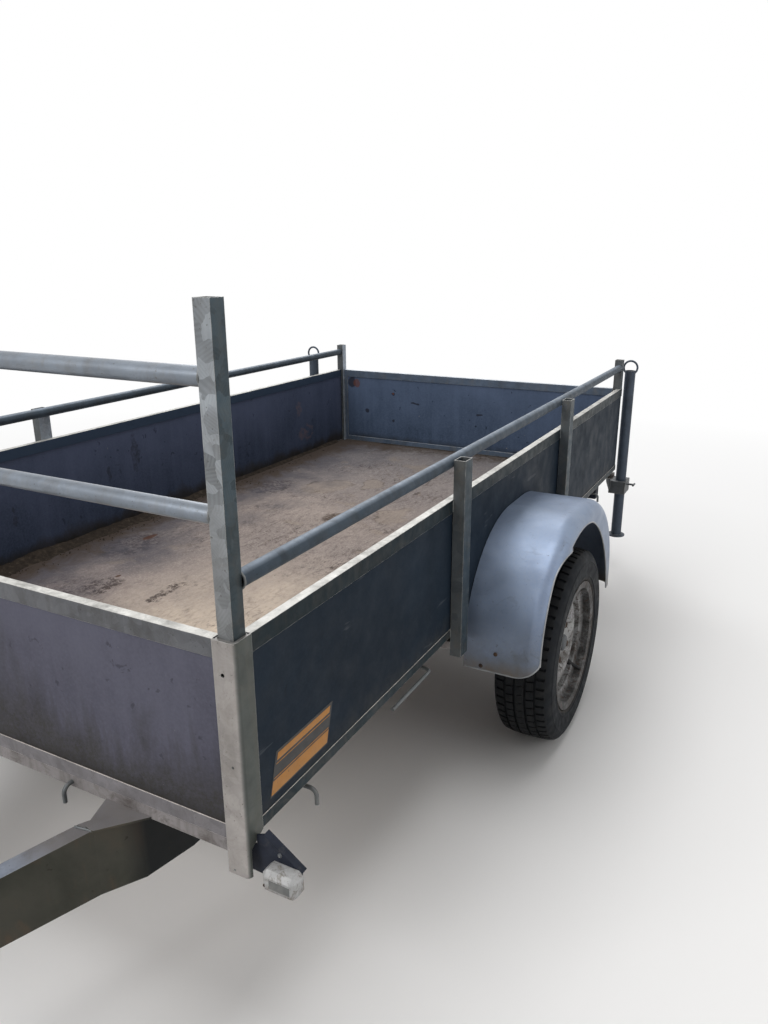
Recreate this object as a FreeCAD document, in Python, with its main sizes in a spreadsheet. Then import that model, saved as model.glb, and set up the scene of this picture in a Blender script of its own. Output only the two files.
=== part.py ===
import FreeCAD, Part
import math
import os

import Sketcher

# A single-axle utility trailer with plywood sides, a tube headboard and a V drawbar.
# Millimetres. Z is up from the ground, -Y is the towing end and +X the trailer's left.
# Lengths along Y are measured from the front face of the box; the origin lies below
# the middle of the whole length, from the coupling's nose to the prop stand clamps.

SIZES = (
    # alias, millimetres, what it is
    ("box_wide", 1330.0, "outside width over the side profiles"),
    ("box_long", 2510.0, "outside length of the box"),
    ("deck_level", 460.0, "top of the floor above the ground"),
    ("side_tall", 340.0, "top of the sides above the floor"),
    ("ply_thick", 12.0, "plywood of the panels"),
    ("floor_thick", 12.0, "plywood of the floor"),
    ("floor_inset", 10.0, "floor edge inside the outer face"),
    ("sheet_thick", 2.0, "wall of the edge profiles"),
    ("seat_gap", 0.3, "gap where one piece lies beside another"),
    ("cap_wide", 18.0, "width of the top profile"),
    ("cap_tall", 31.0, "height of the top profile"),
    ("sill_tall", 21.0, "height of the side sill"),
    ("sill_foot", 20.0, "depth of the sill's foot under the panel"),
    ("front_sill_tall", 27.0, "height of the front sill"),
    ("corner_wide", 41.0, "leg of the front corner profile"),
    ("corner_thick", 3.0, "wall of the front corner profile"),
    ("corner_proud", 1.0, "corner profile outside the edge profiles"),
    ("corner_round", 9.0, "outer rounding of the corner profile"),
    ("corner_drop", 409.0, "length of the corner profile's front leg"),
    ("corner_cut", 18.0, "rise of the slanted cut under the corner's side leg"),
    ("post_wide", 28.0, "headboard post, square tube"),
    ("post_wall", 2.0, "wall of the square tubes"),
    ("post_inset", 5.0, "headboard post inside the outer face"),
    ("post_back", 6.0, "headboard post behind the box front"),
    ("post_rise", 472.0, "headboard post above the sides"),
    ("bar_thick", 28.0, "diameter of the headboard tubes"),
    ("bar_top_rise", 371.0, "upper headboard tube above the sides"),
    ("bar_low_rise", 181.0, "lower headboard tube above the sides"),
    ("rear_post_wide", 30.0, "rear corner post, square tube"),
    ("rear_post_inset", 1.0, "rear corner post inside the outer face"),
    ("rear_post_rise", 115.0, "rear corner post above the sides"),
    ("stake_wide", 28.0, "stake across the trailer"),
    ("stake_long", 40.0, "stake along the trailer"),
    ("stake_rise", 91.0, "stake above the sides"),
    ("stake_drop", 47.0, "stake below the floor's top"),
    ("stake_ahead", 50.0, "front stake ahead of the fender"),
    ("stake_behind", 46.0, "rear stake behind the fender"),
    ("rail_thick", 27.0, "diameter of the side rail"),
    ("rail_rise", 83.0, "axis of the side rail above the sides"),
    ("beam_tall", 20.0, "height of the crossmembers"),
    ("beam_long", 40.0, "crossmember along the trailer"),
    ("beam_wall", 2.5, "wall of the crossmembers"),
    ("rail_beam_wide", 40.0, "side beam under the floor, across"),
    ("rail_beam_inset", 25.0, "side beam inside the outer face"),
    ("tail_side_gap", 5.0, "tailgate clear of the rear posts"),
    ("tail_lift", 5.0, "tailgate clear of the floor"),
    ("tail_inset", 6.0, "tailgate inside the rear face"),
    ("tail_foot_tall", 20.0, "bottom profile of the tailgate"),
    ("tail_stile_wide", 16.0, "side profile of the tailgate"),
    ("hinge_back", 9.0, "hinge axis behind the rear face"),
    ("hinge_sink", 4.0, "hinge axis below the floor's top"),
    ("hinge_spread", 420.0, "hinge from the middle"),
    ("hinge_wide", 40.0, "hinge strap across"),
    ("hinge_ring", 7.0, "outer radius of the hinge barrels"),
    ("hinge_pin", 4.0, "radius of the hinge pin"),
    ("hinge_play", 0.05, "radial play round the hinge pin"),
    ("hinge_side_play", 0.5, "end play beside the hinge barrel"),
    ("strap_thick", 3.0, "thickness of the hinge strap"),
    ("strap_tall", 92.0, "strap up the tailgate"),
    ("leg_tip_back", 110.0, "front end of the drawbar legs behind the nose tube's"),
    ("leg_tip_out", 63.0, "outer face of a leg at its front end"),
    ("leg_bend", 64.0, "bend of the legs ahead of the box"),
    ("leg_bend_out", 398.0, "outer face of a leg at the bend"),
    ("leg_beam_out", 437.0, "outer face of a leg at the front crossmember"),
    ("leg_under", 100.0, "second bend of the legs behind the box front"),
    ("leg_under_out", 457.0, "outer face of a leg at the second bend"),
    ("leg_past", 39.0, "rear end of the legs behind the axle tube's middle"),
    ("leg_end_out", 520.0, "outer face of a leg at its rear end"),
    ("leg_flange", 33.0, "flange width of the legs"),
    ("leg_wall", 4.0, "wall of the legs"),
    ("leg_tall", 130.0, "height of the legs at the bend"),
    ("leg_tip_tall", 65.0, "height of the legs at the front"),
    ("leg_end_tall", 60.0, "height of the legs at the rear"),
    ("gusset_thick", 4.0, "triangular plate on a leg before the box"),
    ("gusset_in", 77.0, "gusset inside the leg's outer face, at the crossmember"),
    ("gusset_out", 26.0, "gusset outside the leg's outer face, at the crossmember"),
    ("gusset_tip", 19.0, "gusset's width at its front end"),
    ("nose_wide", 60.0, "nose tube, square"),
    ("nose_behind", 115.0, "nose tube's front end behind the ball"),
    ("nose_long", 250.0, "length of the nose tube"),
    ("nose_wall", 4.0, "wall of the nose tube"),
    ("ball_ahead", 1405.0, "ball centre ahead of the box"),
    ("ball_level", 400.0, "ball centre above the ground"),
    ("ball_radius", 25.2, "socket for a 50 mm ball"),
    ("socket_wall", 6.0, "wall of the socket"),
    ("wheel_radius", 273.0, "outer radius of the tyre"),
    ("rim_radius", 183.0, "outer radius of the rim flange"),
    ("rim_wide", 146.0, "rim over its flanges"),
    ("wheel_beside", 116.0, "wheel's middle plane outside the box"),
    ("wheel_back", 1240.0, "wheel axis behind the box front"),
    ("disc_face", 22.0, "outer face of the rim's disc beside the wheel's middle plane"),
    ("disc_thick", 4.0, "sheet of the rim's disc"),
    ("disc_swell", 16.0, "ring of the disc outside its middle face"),
    ("well_radius", 145.0, "rim's well"),
    ("hub_radius", 57.0, "flange of the wheel hub"),
    ("spigot_radius", 31.0, "hub's end in the middle of the disc"),
    ("drum_radius", 97.0, "brake drum"),
    ("drum_long", 46.0, "brake drum"),
    ("axle_ahead", 139.0, "axle tube ahead of the wheel axis"),
    ("axle_rise", 55.0, "axle tube above the wheel axis"),
    ("axle_wide", 60.0, "axle tube, square"),
    ("axle_wall", 5.0, "wall of the axle tube"),
    ("axle_inset", 25.0, "end of the axle tube inside the box's side"),
    ("bracket_half", 60.0, "axle bracket ahead of the axle tube's middle"),
    ("arm_thick", 26.0, "trailing arm"),
    ("arm_wall", 4.0, "arm's front boss outside the axle tube"),
    ("eye_wall", 16.0, "arm's rear eye round the stub axle"),
    ("stub_radius", 20.0, "stub axle"),
    ("stub_play", 0.05, "radial play on the stub axle"),
    ("fender_wide", 201.0, "fender from the box's side to its outer face"),
    ("fender_ahead", 15.0, "fender's middle ahead of the wheel axis"),
    ("fender_half", 355.0, "half the fender's length"),
    ("fender_bow", 300.0, "shoulder radius of the fender"),
    ("fender_top", 679.0, "top of the fender above the ground"),
    ("fender_hem", 341.0, "lower edge of the fender above the ground"),
    ("fender_thick", 2.5, "sheet of the fender"),
    ("fender_round", 38.0, "rounding between top and skirt"),
    ("fender_corner", 75.0, "rounding of the fender's lower front corner"),
    ("fender_lip", 13.5, "edge of the skirt behind the fender's front face"),
    ("stand_beside", 15.0, "prop stand axis outside the box"),
    ("stand_back", 58.0, "prop stand axis behind the rear face"),
    ("odd_beside", 36.0, "right prop stand's axis outside the box"),
    ("odd_ahead", 178.0, "right prop stand's axis ahead of the rear face"),
    ("odd_rise", 14.0, "right prop stand set higher than the left one"),
    ("stand_radius", 21.0, "outer radius of the prop stand"),
    ("stand_bore", 18.0, "inner radius of the prop stand"),
    ("stand_foot", 155.0, "foot above the ground"),
    ("stand_top", 865.0, "top of the prop stand's tube"),
    ("stand_ring", 27.0, "radius of the ring handle"),
    ("ring_rise", 12.0, "middle of the ring handle above the tube"),
    ("stand_rod", 4.0, "rod radius of the ring handle"),
    ("foot_radius", 36.0, "foot disc"),
    ("foot_thick", 5.0, "foot disc"),
    ("clamp_low", 350.0, "underside of the clamp"),
    ("clamp_tall", 53.0, "height of the clamp"),
    ("clamp_play", 0.1, "play round the prop stand's tube"),
    ("clamp_web", 6.0, "plate that holds the clamp to the rear beam"),
    ("clamp_rod", 4.0, "radius of the clamp's screw and its crossbar"),
    ("clamp_near", 20.0, "clamp box's front behind the rear face"),
    ("clamp_back", 110.0, "clamp box's rear behind the rear face"),
    ("clamp_ahead", 38.0, "clamp box's front ahead of the stand's axis"),
    ("clamp_grip", 40.0, "clamp box's inner face inside the stand's axis"),
    ("clamp_wide", 67.0, "clamp box across"),
    ("jockey_behind", 195.0, "jockey wheel axis behind the legs' front end"),
    ("jockey_radius", 24.0, "outer radius of the jockey tube"),
    ("jockey_bore", 21.0, "inner radius of the jockey tube"),
    ("jockey_low", 330.0, "lower end of the outer jockey tube"),
    ("jockey_top", 760.0, "upper end of the outer jockey tube"),
    ("jockey_inner", 20.9, "outer radius of the inner jockey tube"),
    ("swivel_gap", 0.3, "gap between the inner jockey tube and the fork"),
    ("jockey_inner_top", 640.0, "upper end of the inner jockey tube"),
    ("castor_top", 216.0, "top plate of the castor fork"),
    ("castor_radius", 100.0, "jockey wheel"),
    ("castor_wide", 50.0, "jockey wheel"),
    ("castor_trail", 40.0, "jockey wheel's axle behind its swivel"),
    ("lamp_wide", 62.0, "front marker lamp"),
    ("lamp_tall", 40.0, "front marker lamp"),
    ("lamp_deep", 28.0, "front marker lamp"),
    ("lamp_bevel", 8.0, "bevel round the lamp's face"),
    ("lamp_beside", 25.0, "lamp's inner side outside the box"),
    ("lamp_low", 384.0, "underside of the front marker lamp"),
    ("lamp_plate", 3.0, "bracket of the front marker lamp"),
    ("lamp_back", 22.0, "front marker lamp's bracket behind the box front"),
    ("bracket_rise", 466.0, "top of the lamp's bracket"),
    ("bracket_fold", 14.0, "depth of the bracket's folded top"),
    ("bracket_in", 15.0, "bracket behind the corner profile, inside the box's side"),
    ("bracket_shelf", 442.0, "top of the bracket behind the corner profile"),
    ("rear_lamp_inset", 65.0, "rear lamp's outer side inside the box's side"),
    ("rear_lamp_wide", 200.0, "rear lamp"),
    ("rear_lamp_tall", 88.0, "rear lamp"),
    ("rear_lamp_deep", 44.0, "rear lamp"),
    ("lamp_bar_inset", 55.0, "end of the rear lamps' bar inside the box's side"),
    ("lamp_bar_tall", 40.0, "height of the rear lamps' bar"),
    ("lamp_bar_thick", 3.0, "sheet of the rear lamps' bar"),
    ("board_wide", 520.0, "board for the number plate"),
    ("board_tall", 110.0, "board for the number plate"),
    ("board_low", 118.0, "underside of the board below the rear beam"),
    ("board_thick", 2.0, "board for the number plate"),
    ("hook_rod", 4.0, "radius of the rope hooks"),
    ("hook_bow", 14.0, "bend of the rope hooks"),
    ("hook_reach", 37.0, "rope hook outside the beam"),
    ("hook_drop", 16.0, "straight end of a rope hook"),
    ("hook_run", 170.0, "straight end of the long rope hooks"),
    ("hook_first", 183.0, "first rope hook behind the box front"),
    ("hook_ahead", 125.0, "second rope hook ahead of the front stake"),
    ("hook_behind", 244.0, "third rope hook behind the rear stake"),
    ("hook_last", 320.0, "last rope hook ahead of the rear face"),
    ("front_hook_out", 278.0, "front rope hook from the middle"),
    ("front_hook_reach", 24.0, "front rope hook before the crossmember"),
)

MIDDLE = "(box_long + clamp_back - ball_ahead - ball_radius - socket_wall) / 2"
HALF = "box_wide / 2"
TOP = "(deck_level + side_tall)"
UNDER = "(deck_level - floor_thick)"
BEAM_UNDER = "(deck_level - floor_thick - beam_tall)"
REAR = "box_long"
POST_FRONT = "(box_long - rear_post_wide)"
NOSE_FRONT = "(ball_ahead - nose_behind)"
LEG_TIP = f"({NOSE_FRONT} - leg_tip_back)"
JOCKEY_AHEAD = f"({LEG_TIP} - jockey_behind)"
WHEEL_OUT = f"({HALF} + wheel_beside)"
AXLE_REACH = f"({HALF} - axle_inset)"
AXLE_PLACE = "(wheel_back - axle_ahead)"
LEG_END = f"({AXLE_PLACE} + leg_past)"
FENDER_MID = "(wheel_back - fender_ahead)"
FENDER_OUTER = f"({HALF} + fender_wide)"
STAKE_ONE = f"({FENDER_MID} - fender_half - stake_ahead - stake_long)"
STAKE_TWO = f"({FENDER_MID} + fender_half + stake_behind)"
STAND_OUT = f"({HALF} + stand_beside)"
STAND_PLACE = f"({REAR} + stand_back)"
ODD_OUT = f"({HALF} + odd_beside)"
ODD_PLACE = f"({REAR} - odd_ahead)"
CLAMP_INNER = f"({STAND_OUT} - clamp_grip)"
LAMP_OUT = f"({HALF} + lamp_beside)"
NODES = {}

doc = FreeCAD.newDocument("UtilityTrailer")
sheet = doc.addObject("Spreadsheet::Sheet", "Dims")
for row, (alias, millimetres, meaning) in enumerate(SIZES, start=1):
    sheet.set(f"A{row}", alias)
    sheet.set(f"B{row}", str(millimetres))
    sheet.set(f"C{row}", meaning)
    sheet.setAlias(f"B{row}", alias)
doc.recompute()
ALIASES = sorted((alias for alias, _, _ in SIZES), key=len, reverse=True)


def bound(text):
    """An expression with plain size names, as one that reads the sheet."""
    words = []
    word = ""
    for letter in str(text) + " ":
        if letter.isalnum() or letter == "_" or (letter == "." and word):
            word += letter
            continue
        words.append(f"Dims.{word}" if word in ALIASES else word)
        words.append(letter)
        word = ""
    return "".join(words).strip()


def number(text):
    """The value of such an expression."""
    return float(sheet.evalExpression(bound(text)))


def along(text):
    """A place behind the box front, as a coordinate from the origin."""
    return f"({text}) - {MIDDLE}"


def origin_plane(body, role):
    return [item for item in body.Origin.OriginFeatures if item.Role == role][0]


def outline(body, role, points, arcs=None):
    """A closed sketch: corners as expression pairs, arcs as {edge: ("x" or "y", centre)}."""
    arcs = arcs or {}
    sketch = body.newObject("Sketcher::SketchObject", "Outline")
    sketch.AttachmentSupport = [(origin_plane(body, role), "")]
    sketch.MapMode = "FlatFace"
    corners = [(number(a), number(b)) for a, b in points]
    count = len(corners)
    ends = []
    for i, start in enumerate(corners):
        stop = corners[(i + 1) % count]
        if i not in arcs:
            line = Part.LineSegment(FreeCAD.Vector(*start, 0), FreeCAD.Vector(*stop, 0))
            sketch.addGeometry(line, False)
            ends.append((1, 2))
            continue
        which, centre_text = arcs[i]
        centre = arc_centre(start, stop, which, number(centre_text))
        first = math.atan2(start[1] - centre[1], start[0] - centre[0])
        last = math.atan2(stop[1] - centre[1], stop[0] - centre[0])
        sweep = (last - first) % (2 * math.pi)
        circle = Part.Circle(FreeCAD.Vector(*centre, 0), FreeCAD.Vector(0, 0, 1), math.dist(start, centre))
        if sweep <= math.pi:
            sketch.addGeometry(Part.ArcOfCircle(circle, first, first + sweep), False)
            ends.append((1, 2))
        else:
            sketch.addGeometry(Part.ArcOfCircle(circle, last, last + 2 * math.pi - sweep), False)
            ends.append((2, 1))
    for i in range(count):
        after = (i + 1) % count
        sketch.addConstraint(Sketcher.Constraint("Coincident", i, ends[i][1], after, ends[after][0]))
    for i, (text_a, text_b) in enumerate(points):
        pin(sketch, "DistanceX", f"across{i}", i, ends[i][0], corners[i][0], text_a)
        pin(sketch, "DistanceY", f"up{i}", i, ends[i][0], corners[i][1], text_b)
    for i, (which, centre_text) in arcs.items():
        kind = "DistanceX" if which == "x" else "DistanceY"
        pin(sketch, kind, f"centre{i}", i, 3, number(centre_text), centre_text)
    return sketch


def arc_centre(start, stop, which, known):
    """The centre on the bisector of two points, from one of its coordinates."""
    middle = ((start[0] + stop[0]) / 2, (start[1] + stop[1]) / 2)
    normal = (start[1] - stop[1], stop[0] - start[0])
    axis = 0 if which == "x" else 1
    step = (known - middle[axis]) / normal[axis]
    return (middle[0] + step * normal[0], middle[1] + step * normal[1])


def pin(sketch, kind, name, edge, end, value, text):
    """Hold one coordinate of a sketch point to an expression."""
    index = sketch.addConstraint(Sketcher.Constraint(kind, -1, 1, edge, end, value))
    sketch.renameConstraint(index, name)
    sketch.setExpression(f"Constraints.{name}", bound(text))


def prism(role, points, start, length, arcs=None, name="Prism"):
    """A pad of an outline: XY pads go up, YZ pads go to +X, XZ pads go to +Y.

    start and length lie along that direction; the other coordinates are the points.
    """
    body = doc.addObject("PartDesign::Body", name)
    sketch = outline(body, role, points, arcs)
    offset = f"-(({start}) + ({length}))" if role == "XZ_Plane" else f"{start}"
    sketch.setExpression("AttachmentOffset.Base.z", bound(offset))
    pad = body.newObject("PartDesign::Pad", "Pad")
    pad.Profile = sketch
    pad.setExpression("Length", bound(length))
    body.Tip = pad
    return body


def turned(role, points, axis, middle, arcs=None, name="Turned"):
    """A revolution of an outline round the sketch's H_Axis or V_Axis.

    middle places the axis: an (x, y, z) triple of expressions for the body.
    """
    body = doc.addObject("PartDesign::Body", name)
    sketch = outline(body, role, points, arcs)
    turn = body.newObject("PartDesign::Revolution", "Revolution")
    turn.Profile = sketch
    turn.ReferenceAxis = (sketch, [axis])
    turn.Angle = 360
    body.Tip = turn
    return place(body, middle)


def place(item, middle, axis=None, angle=0):
    if axis:
        item.Placement = FreeCAD.Placement(FreeCAD.Vector(), FreeCAD.Rotation(FreeCAD.Vector(*axis), angle))
    for letter, text in zip("xyz", middle):
        item.setExpression(f"Placement.Base.{letter}", bound(text))
    return item


def block(low, size, name="Block"):
    """A box from its low corner and its size, all expressions."""
    item = doc.addObject("Part::Box", name)
    for key, text in zip(("Length", "Width", "Height"), size):
        item.setExpression(key, bound(text))
    return place(item, low)


TURNS = {"X": ((0, 1, 0), 90), "Y": ((1, 0, 0), -90), "Z": None}


def rod(direction, start, radius, length, name="Rod"):
    """A cylinder along +X, +Y or +Z from its start."""
    item = doc.addObject("Part::Cylinder", name)
    item.setExpression("Radius", bound(radius))
    item.setExpression("Height", bound(length))
    turn = TURNS[direction]
    return place(item, start, *turn) if turn else place(item, start)


def ring(direction, middle, radius, rod_radius, name="Ring", sweep=360):
    """A torus, whole or in part, whose axis lies along X, Y or Z."""
    item = doc.addObject("Part::Torus", name)
    item.setExpression("Radius1", bound(radius))
    item.setExpression("Radius2", bound(rod_radius))
    item.Angle3 = sweep
    turn = TURNS[direction]
    return place(item, middle, *turn) if turn else place(item, middle)


def ball(middle, radius, name="Ball"):
    item = doc.addObject("Part::Sphere", name)
    item.setExpression("Radius", bound(radius))
    return place(item, middle)


def cut(base, *tools):
    for tool in tools:
        item = doc.addObject("Part::Cut", "Cut")
        item.Base = base
        item.Tool = tool
        base = item
    return base


def fuse(*items):
    item = doc.addObject("Part::MultiFuse", "Fuse")
    item.Shapes = list(items)
    item.Refine = True
    return item


def common(one, two):
    item = doc.addObject("Part::Common", "Common")
    item.Base = one
    item.Tool = two
    return item


def mirrored(source, normal=(1, 0, 0)):
    item = doc.addObject("Part::Mirroring", "Mirror")
    item.Source = source
    item.Normal = FreeCAD.Vector(*normal)
    return item


def group(*items):
    """Solids of one node that don't touch each other."""
    item = doc.addObject("Part::Compound", "Group")
    item.Links = list(items)
    return item


def both_sides(item):
    return group(item, mirrored(item))


def node(name, item):
    item.Label = name
    NODES[name] = item
    return item


def floor():
    """The floor, with a tongue between the rear posts that reaches below the tailgate."""
    start = "(beam_wall + sheet_thick)"
    board = block((f"-({HALF} - floor_inset)", along(start), UNDER),
                  ("box_wide - 2 * floor_inset", f"{POST_FRONT} - seat_gap - {start}", "floor_thick"))
    reach = f"({HALF} - rear_post_inset - rear_post_wide - seat_gap)"
    tongue = block((f"-{reach}", along(f"{POST_FRONT} - 10"), UNDER),
                   (f"2 * {reach}", "rear_post_wide - sheet_thick + 10", "floor_thick"))
    node("floor_board", fuse(board, tongue))


def sides():
    """Panels of the front and the two sides, each standing in its profiles."""
    low = "(deck_level + sheet_thick)"
    tall = "side_tall - 2 * sheet_thick"
    reach = f"({HALF} - post_inset - post_wide - seat_gap)"
    node("front_panel", block(
        (f"-{reach}", along("sheet_thick"), low), (f"2 * {reach}", "ply_thick", tall)))
    start = "(post_back + post_wide + seat_gap)"
    left = block((f"{HALF} - sheet_thick - ply_thick", along(start), low),
                 ("ply_thick", f"{REAR} - {start}", tall))
    node("side_panels", both_sides(left))


def cap_outline(inner, outer, top, wall="sheet_thick"):
    """The inverted U over a panel's edge, from its inner to its outer face."""
    return ((outer, f"{top} - cap_tall"), (outer, top), (inner, top), (inner, f"{top} - cap_tall"),
            (f"{inner} + {wall}", f"{top} - cap_tall"), (f"{inner} + {wall}", f"{top} - {wall}"),
            (f"{outer} - {wall}", f"{top} - {wall}"), (f"{outer} - {wall}", f"{top} - cap_tall"))


def edging():
    """Galvanised profiles over and under the panels."""
    start = "corner_wide - corner_proud"
    length = f"{REAR} - ({start})"
    cap = prism("XZ_Plane", cap_outline(f"({HALF} - cap_wide)", f"({HALF})", TOP), along(start), length)
    sill = prism("XZ_Plane", (
        (HALF, "deck_level"), (HALF, "deck_level + sill_tall"),
        (f"{HALF} - sheet_thick", "deck_level + sill_tall"),
        (f"{HALF} - sheet_thick", "deck_level + sheet_thick"),
        (f"{HALF} - sill_foot", "deck_level + sheet_thick"),
        (f"{HALF} - sill_foot", "deck_level")), along(start), length)
    node("side_edgings", both_sides(group(cap, sill)))
    reach = f"({HALF} - corner_wide + corner_proud)"
    front_low = "deck_level + sill_tall - front_sill_tall"
    front_cap = prism("YZ_Plane", (
        (along("0"), f"{TOP} - cap_tall"), (along("0"), TOP), (along("cap_wide"), TOP),
        (along("cap_wide"), f"{TOP} - cap_tall"), (along("cap_wide - sheet_thick"), f"{TOP} - cap_tall"),
        (along("cap_wide - sheet_thick"), f"{TOP} - sheet_thick"),
        (along("sheet_thick"), f"{TOP} - sheet_thick"), (along("sheet_thick"), f"{TOP} - cap_tall")),
        f"-{reach}", f"2 * {reach}")
    front_sill = prism("YZ_Plane", (
        (along("0"), front_low), (along("0"), "deck_level + sill_tall"),
        (along("sheet_thick"), "deck_level + sill_tall"), (along("sheet_thick"), "deck_level + sheet_thick"),
        (along("sill_foot"), "deck_level + sheet_thick"), (along("sill_foot"), "deck_level"),
        (along("sheet_thick"), "deck_level"), (along("sheet_thick"), front_low)),
        f"-{reach}", f"2 * {reach}")
    node("front_edging", group(front_cap, front_sill))


def corners():
    """Bent corner profiles in front, square posts behind."""
    outer = f"({HALF} + corner_proud)"
    front = "-corner_proud"
    bend = "corner_round"
    profile = prism("XY_Plane", (
        (f"{outer} - corner_wide", along(front)),
        (f"{outer} - {bend}", along(front)),
        (outer, along(f"{front} + {bend}")),
        (outer, along(f"{front} + corner_wide")),
        (f"{outer} - corner_thick", along(f"{front} + corner_wide")),
        (f"{outer} - corner_thick", along(f"{front} + {bend}")),
        (f"{outer} - {bend}", along(f"{front} + corner_thick")),
        (f"{outer} - corner_wide", along(f"{front} + corner_thick"))),
        f"{TOP} - corner_drop", "corner_drop",
        arcs={1: ("x", f"{outer} - {bend}"), 5: ("x", f"{outer} - {bend}")})
    slant = prism("YZ_Plane", (
        (along(f"{front} + {bend}"), f"{TOP} - corner_drop - 1"),
        (along(f"{front} + corner_wide + 1"), f"{TOP} - corner_drop - 1"),
        (along(f"{front} + corner_wide + 1"), "deck_level"),
        (along(f"{front} + {bend}"), "deck_level - corner_cut")),
        f"{outer} - corner_thick - 1", "corner_thick + 2")
    hole = rod("Y", (f"{HALF} - corner_wide / 2 - 3", along(f"{front} - 1"), f"{TOP} - 55"), "3.5",
               "corner_thick + 2")
    corner = cut(profile, slant, hole)
    node("corner_posts_front", both_sides(corner))
    node("corner_posts_rear", both_sides(rear_post()))


def rear_post():
    """A rear post, notched round the side's profiles and let through by the rail."""
    inner = f"{HALF} - rear_post_inset - rear_post_wide"
    post = square_tube((inner, along(POST_FRONT), UNDER), "rear_post_wide", "rear_post_wide",
                       "side_tall + rear_post_rise + floor_thick")
    ahead = along(f"{POST_FRONT} - 1")
    notch = block((f"{HALF} - sill_foot - seat_gap", ahead, f"{UNDER} - 1"),
                  ("sill_foot + 10", "rear_post_wide + 2", "side_tall + floor_thick + seat_gap + 1"))
    passage = rod("Y", (f"{HALF} - rail_thick / 2", ahead, f"{TOP} + rail_rise"),
                  "rail_thick / 2 + seat_gap", "rear_post_wide + 2")
    return cut(post, notch, passage)


def square_tube(low, wide, long, tall, wall="post_wall"):
    """An upright rectangular tube, open at both ends."""
    outer = block(low, (wide, long, tall))
    inner = block((f"{low[0]} + {wall}", f"{low[1]} + {wall}", f"{low[2]} - 1"),
                  (f"{wide} - 2 * {wall}", f"{long} - 2 * {wall}", f"{tall} + 2"))
    return cut(outer, inner)


def uprights():
    """Stakes on the outside of the sides, and the headboard's posts and tubes."""
    tall = "side_tall + stake_rise + stake_drop"
    stakes = [square_tube((HALF, along(start), "deck_level - stake_drop"), "stake_wide", "stake_long", tall)
              for start in (STAKE_ONE, STAKE_TWO)]
    node("stakes", both_sides(group(*stakes)))
    post = square_tube((f"{HALF} - post_inset - post_wide", along("post_back"), "deck_level"),
                       "post_wide", "post_wide", "side_tall + post_rise")
    node("headboard_posts", both_sides(post))
    reach = f"({HALF} - post_inset - post_wide)"
    bars = []
    for rise in ("bar_top_rise", "bar_low_rise"):
        bars.append(hollow_rod("X", (f"-{reach}", along("post_back + post_wide / 2"), f"{TOP} + {rise}"),
                               "bar_thick / 2", f"2 * {reach}"))
    node("headboard_tubes", group(*bars))


def hollow_rod(direction, start, radius, length, wall="post_wall"):
    outer = rod(direction, start, radius, length)
    shift = {"X": 0, "Y": 1, "Z": 2}[direction]
    early = list(start)
    early[shift] = f"{early[shift]} - 1"
    inner = rod(direction, early, f"{radius} - {wall}", f"{length} + 2")
    return cut(outer, inner)


def rails():
    """Round rails on the inner side of the stakes, from the headboard through the rear post."""
    start = "(post_back + post_wide)"
    rail = hollow_rod("Y", (f"{HALF} - rail_thick / 2", along(start), f"{TOP} + rail_rise"),
                      "rail_thick / 2", f"{REAR} - {start}")
    node("side_rails", both_sides(rail))


def chassis():
    """Crossmembers, side beams and the front and rear beams under the floor."""
    reach = HALF
    sill_low = "deck_level + sill_tall - front_sill_tall"
    front = prism("YZ_Plane", (
        (along("sheet_thick"), BEAM_UNDER), (along("sheet_thick"), sill_low),
        (along("sheet_thick + beam_wall"), sill_low),
        (along("sheet_thick + beam_wall"), UNDER), (along("beam_long"), UNDER),
        (along("beam_long"), f"{UNDER} - beam_wall"),
        (along("sheet_thick + beam_wall"), f"{UNDER} - beam_wall"),
        (along("sheet_thick + beam_wall"), f"{BEAM_UNDER} + beam_wall"),
        (along("beam_long"), f"{BEAM_UNDER} + beam_wall"), (along("beam_long"), BEAM_UNDER)),
        f"-({reach} - corner_wide)", f"2 * ({reach} - corner_wide)")
    rear_face = f"{REAR} - sheet_thick"
    rear = prism("YZ_Plane", (
        (along(rear_face), BEAM_UNDER), (along(rear_face), UNDER),
        (along(f"{REAR} - beam_long"), UNDER), (along(f"{REAR} - beam_long"), f"{UNDER} - beam_wall"),
        (along(f"{rear_face} - beam_wall"), f"{UNDER} - beam_wall"),
        (along(f"{rear_face} - beam_wall"), f"{BEAM_UNDER} + beam_wall"),
        (along(f"{REAR} - beam_long"), f"{BEAM_UNDER} + beam_wall"),
        (along(f"{REAR} - beam_long"), BEAM_UNDER)),
        f"-{reach}", f"2 * {reach}")
    crossings = []
    for start in (STAKE_ONE, STAKE_TWO):
        crossings.append(lying_tube(f"-{reach}", along(start), "box_wide"))
    node("end_beams", group(front, rear))
    node("crossmembers", group(*crossings))
    spans = (("beam_long", STAKE_ONE), (f"{STAKE_ONE} + beam_long", STAKE_TWO),
             (f"{STAKE_TWO} + beam_long", f"{REAR} - beam_long"))
    beams = []
    inner = f"{HALF} - rail_beam_inset - rail_beam_wide"
    for start, stop in spans:
        length = f"({stop}) - ({start})"
        outer_block = block((inner, along(start), BEAM_UNDER), ("rail_beam_wide", length, "beam_tall"))
        hollow = block((f"{inner} - 1", along(f"{start} - 1"), f"{BEAM_UNDER} + beam_wall"),
                       ("rail_beam_wide - beam_wall + 1", f"{length} + 2", "beam_tall - 2 * beam_wall"))
        beams.append(cut(outer_block, hollow))
    node("side_beams", both_sides(group(*beams)))


def lying_tube(start_x, start_y, length):
    outer = block((start_x, start_y, BEAM_UNDER), (length, "beam_long", "beam_tall"))
    inner = block((f"{start_x} - 1", f"{start_y} + beam_wall", f"{BEAM_UNDER} + beam_wall"),
                  (f"{length} + 2", "beam_long - 2 * beam_wall", "beam_tall - 2 * beam_wall"))
    return cut(outer, inner)


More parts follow.
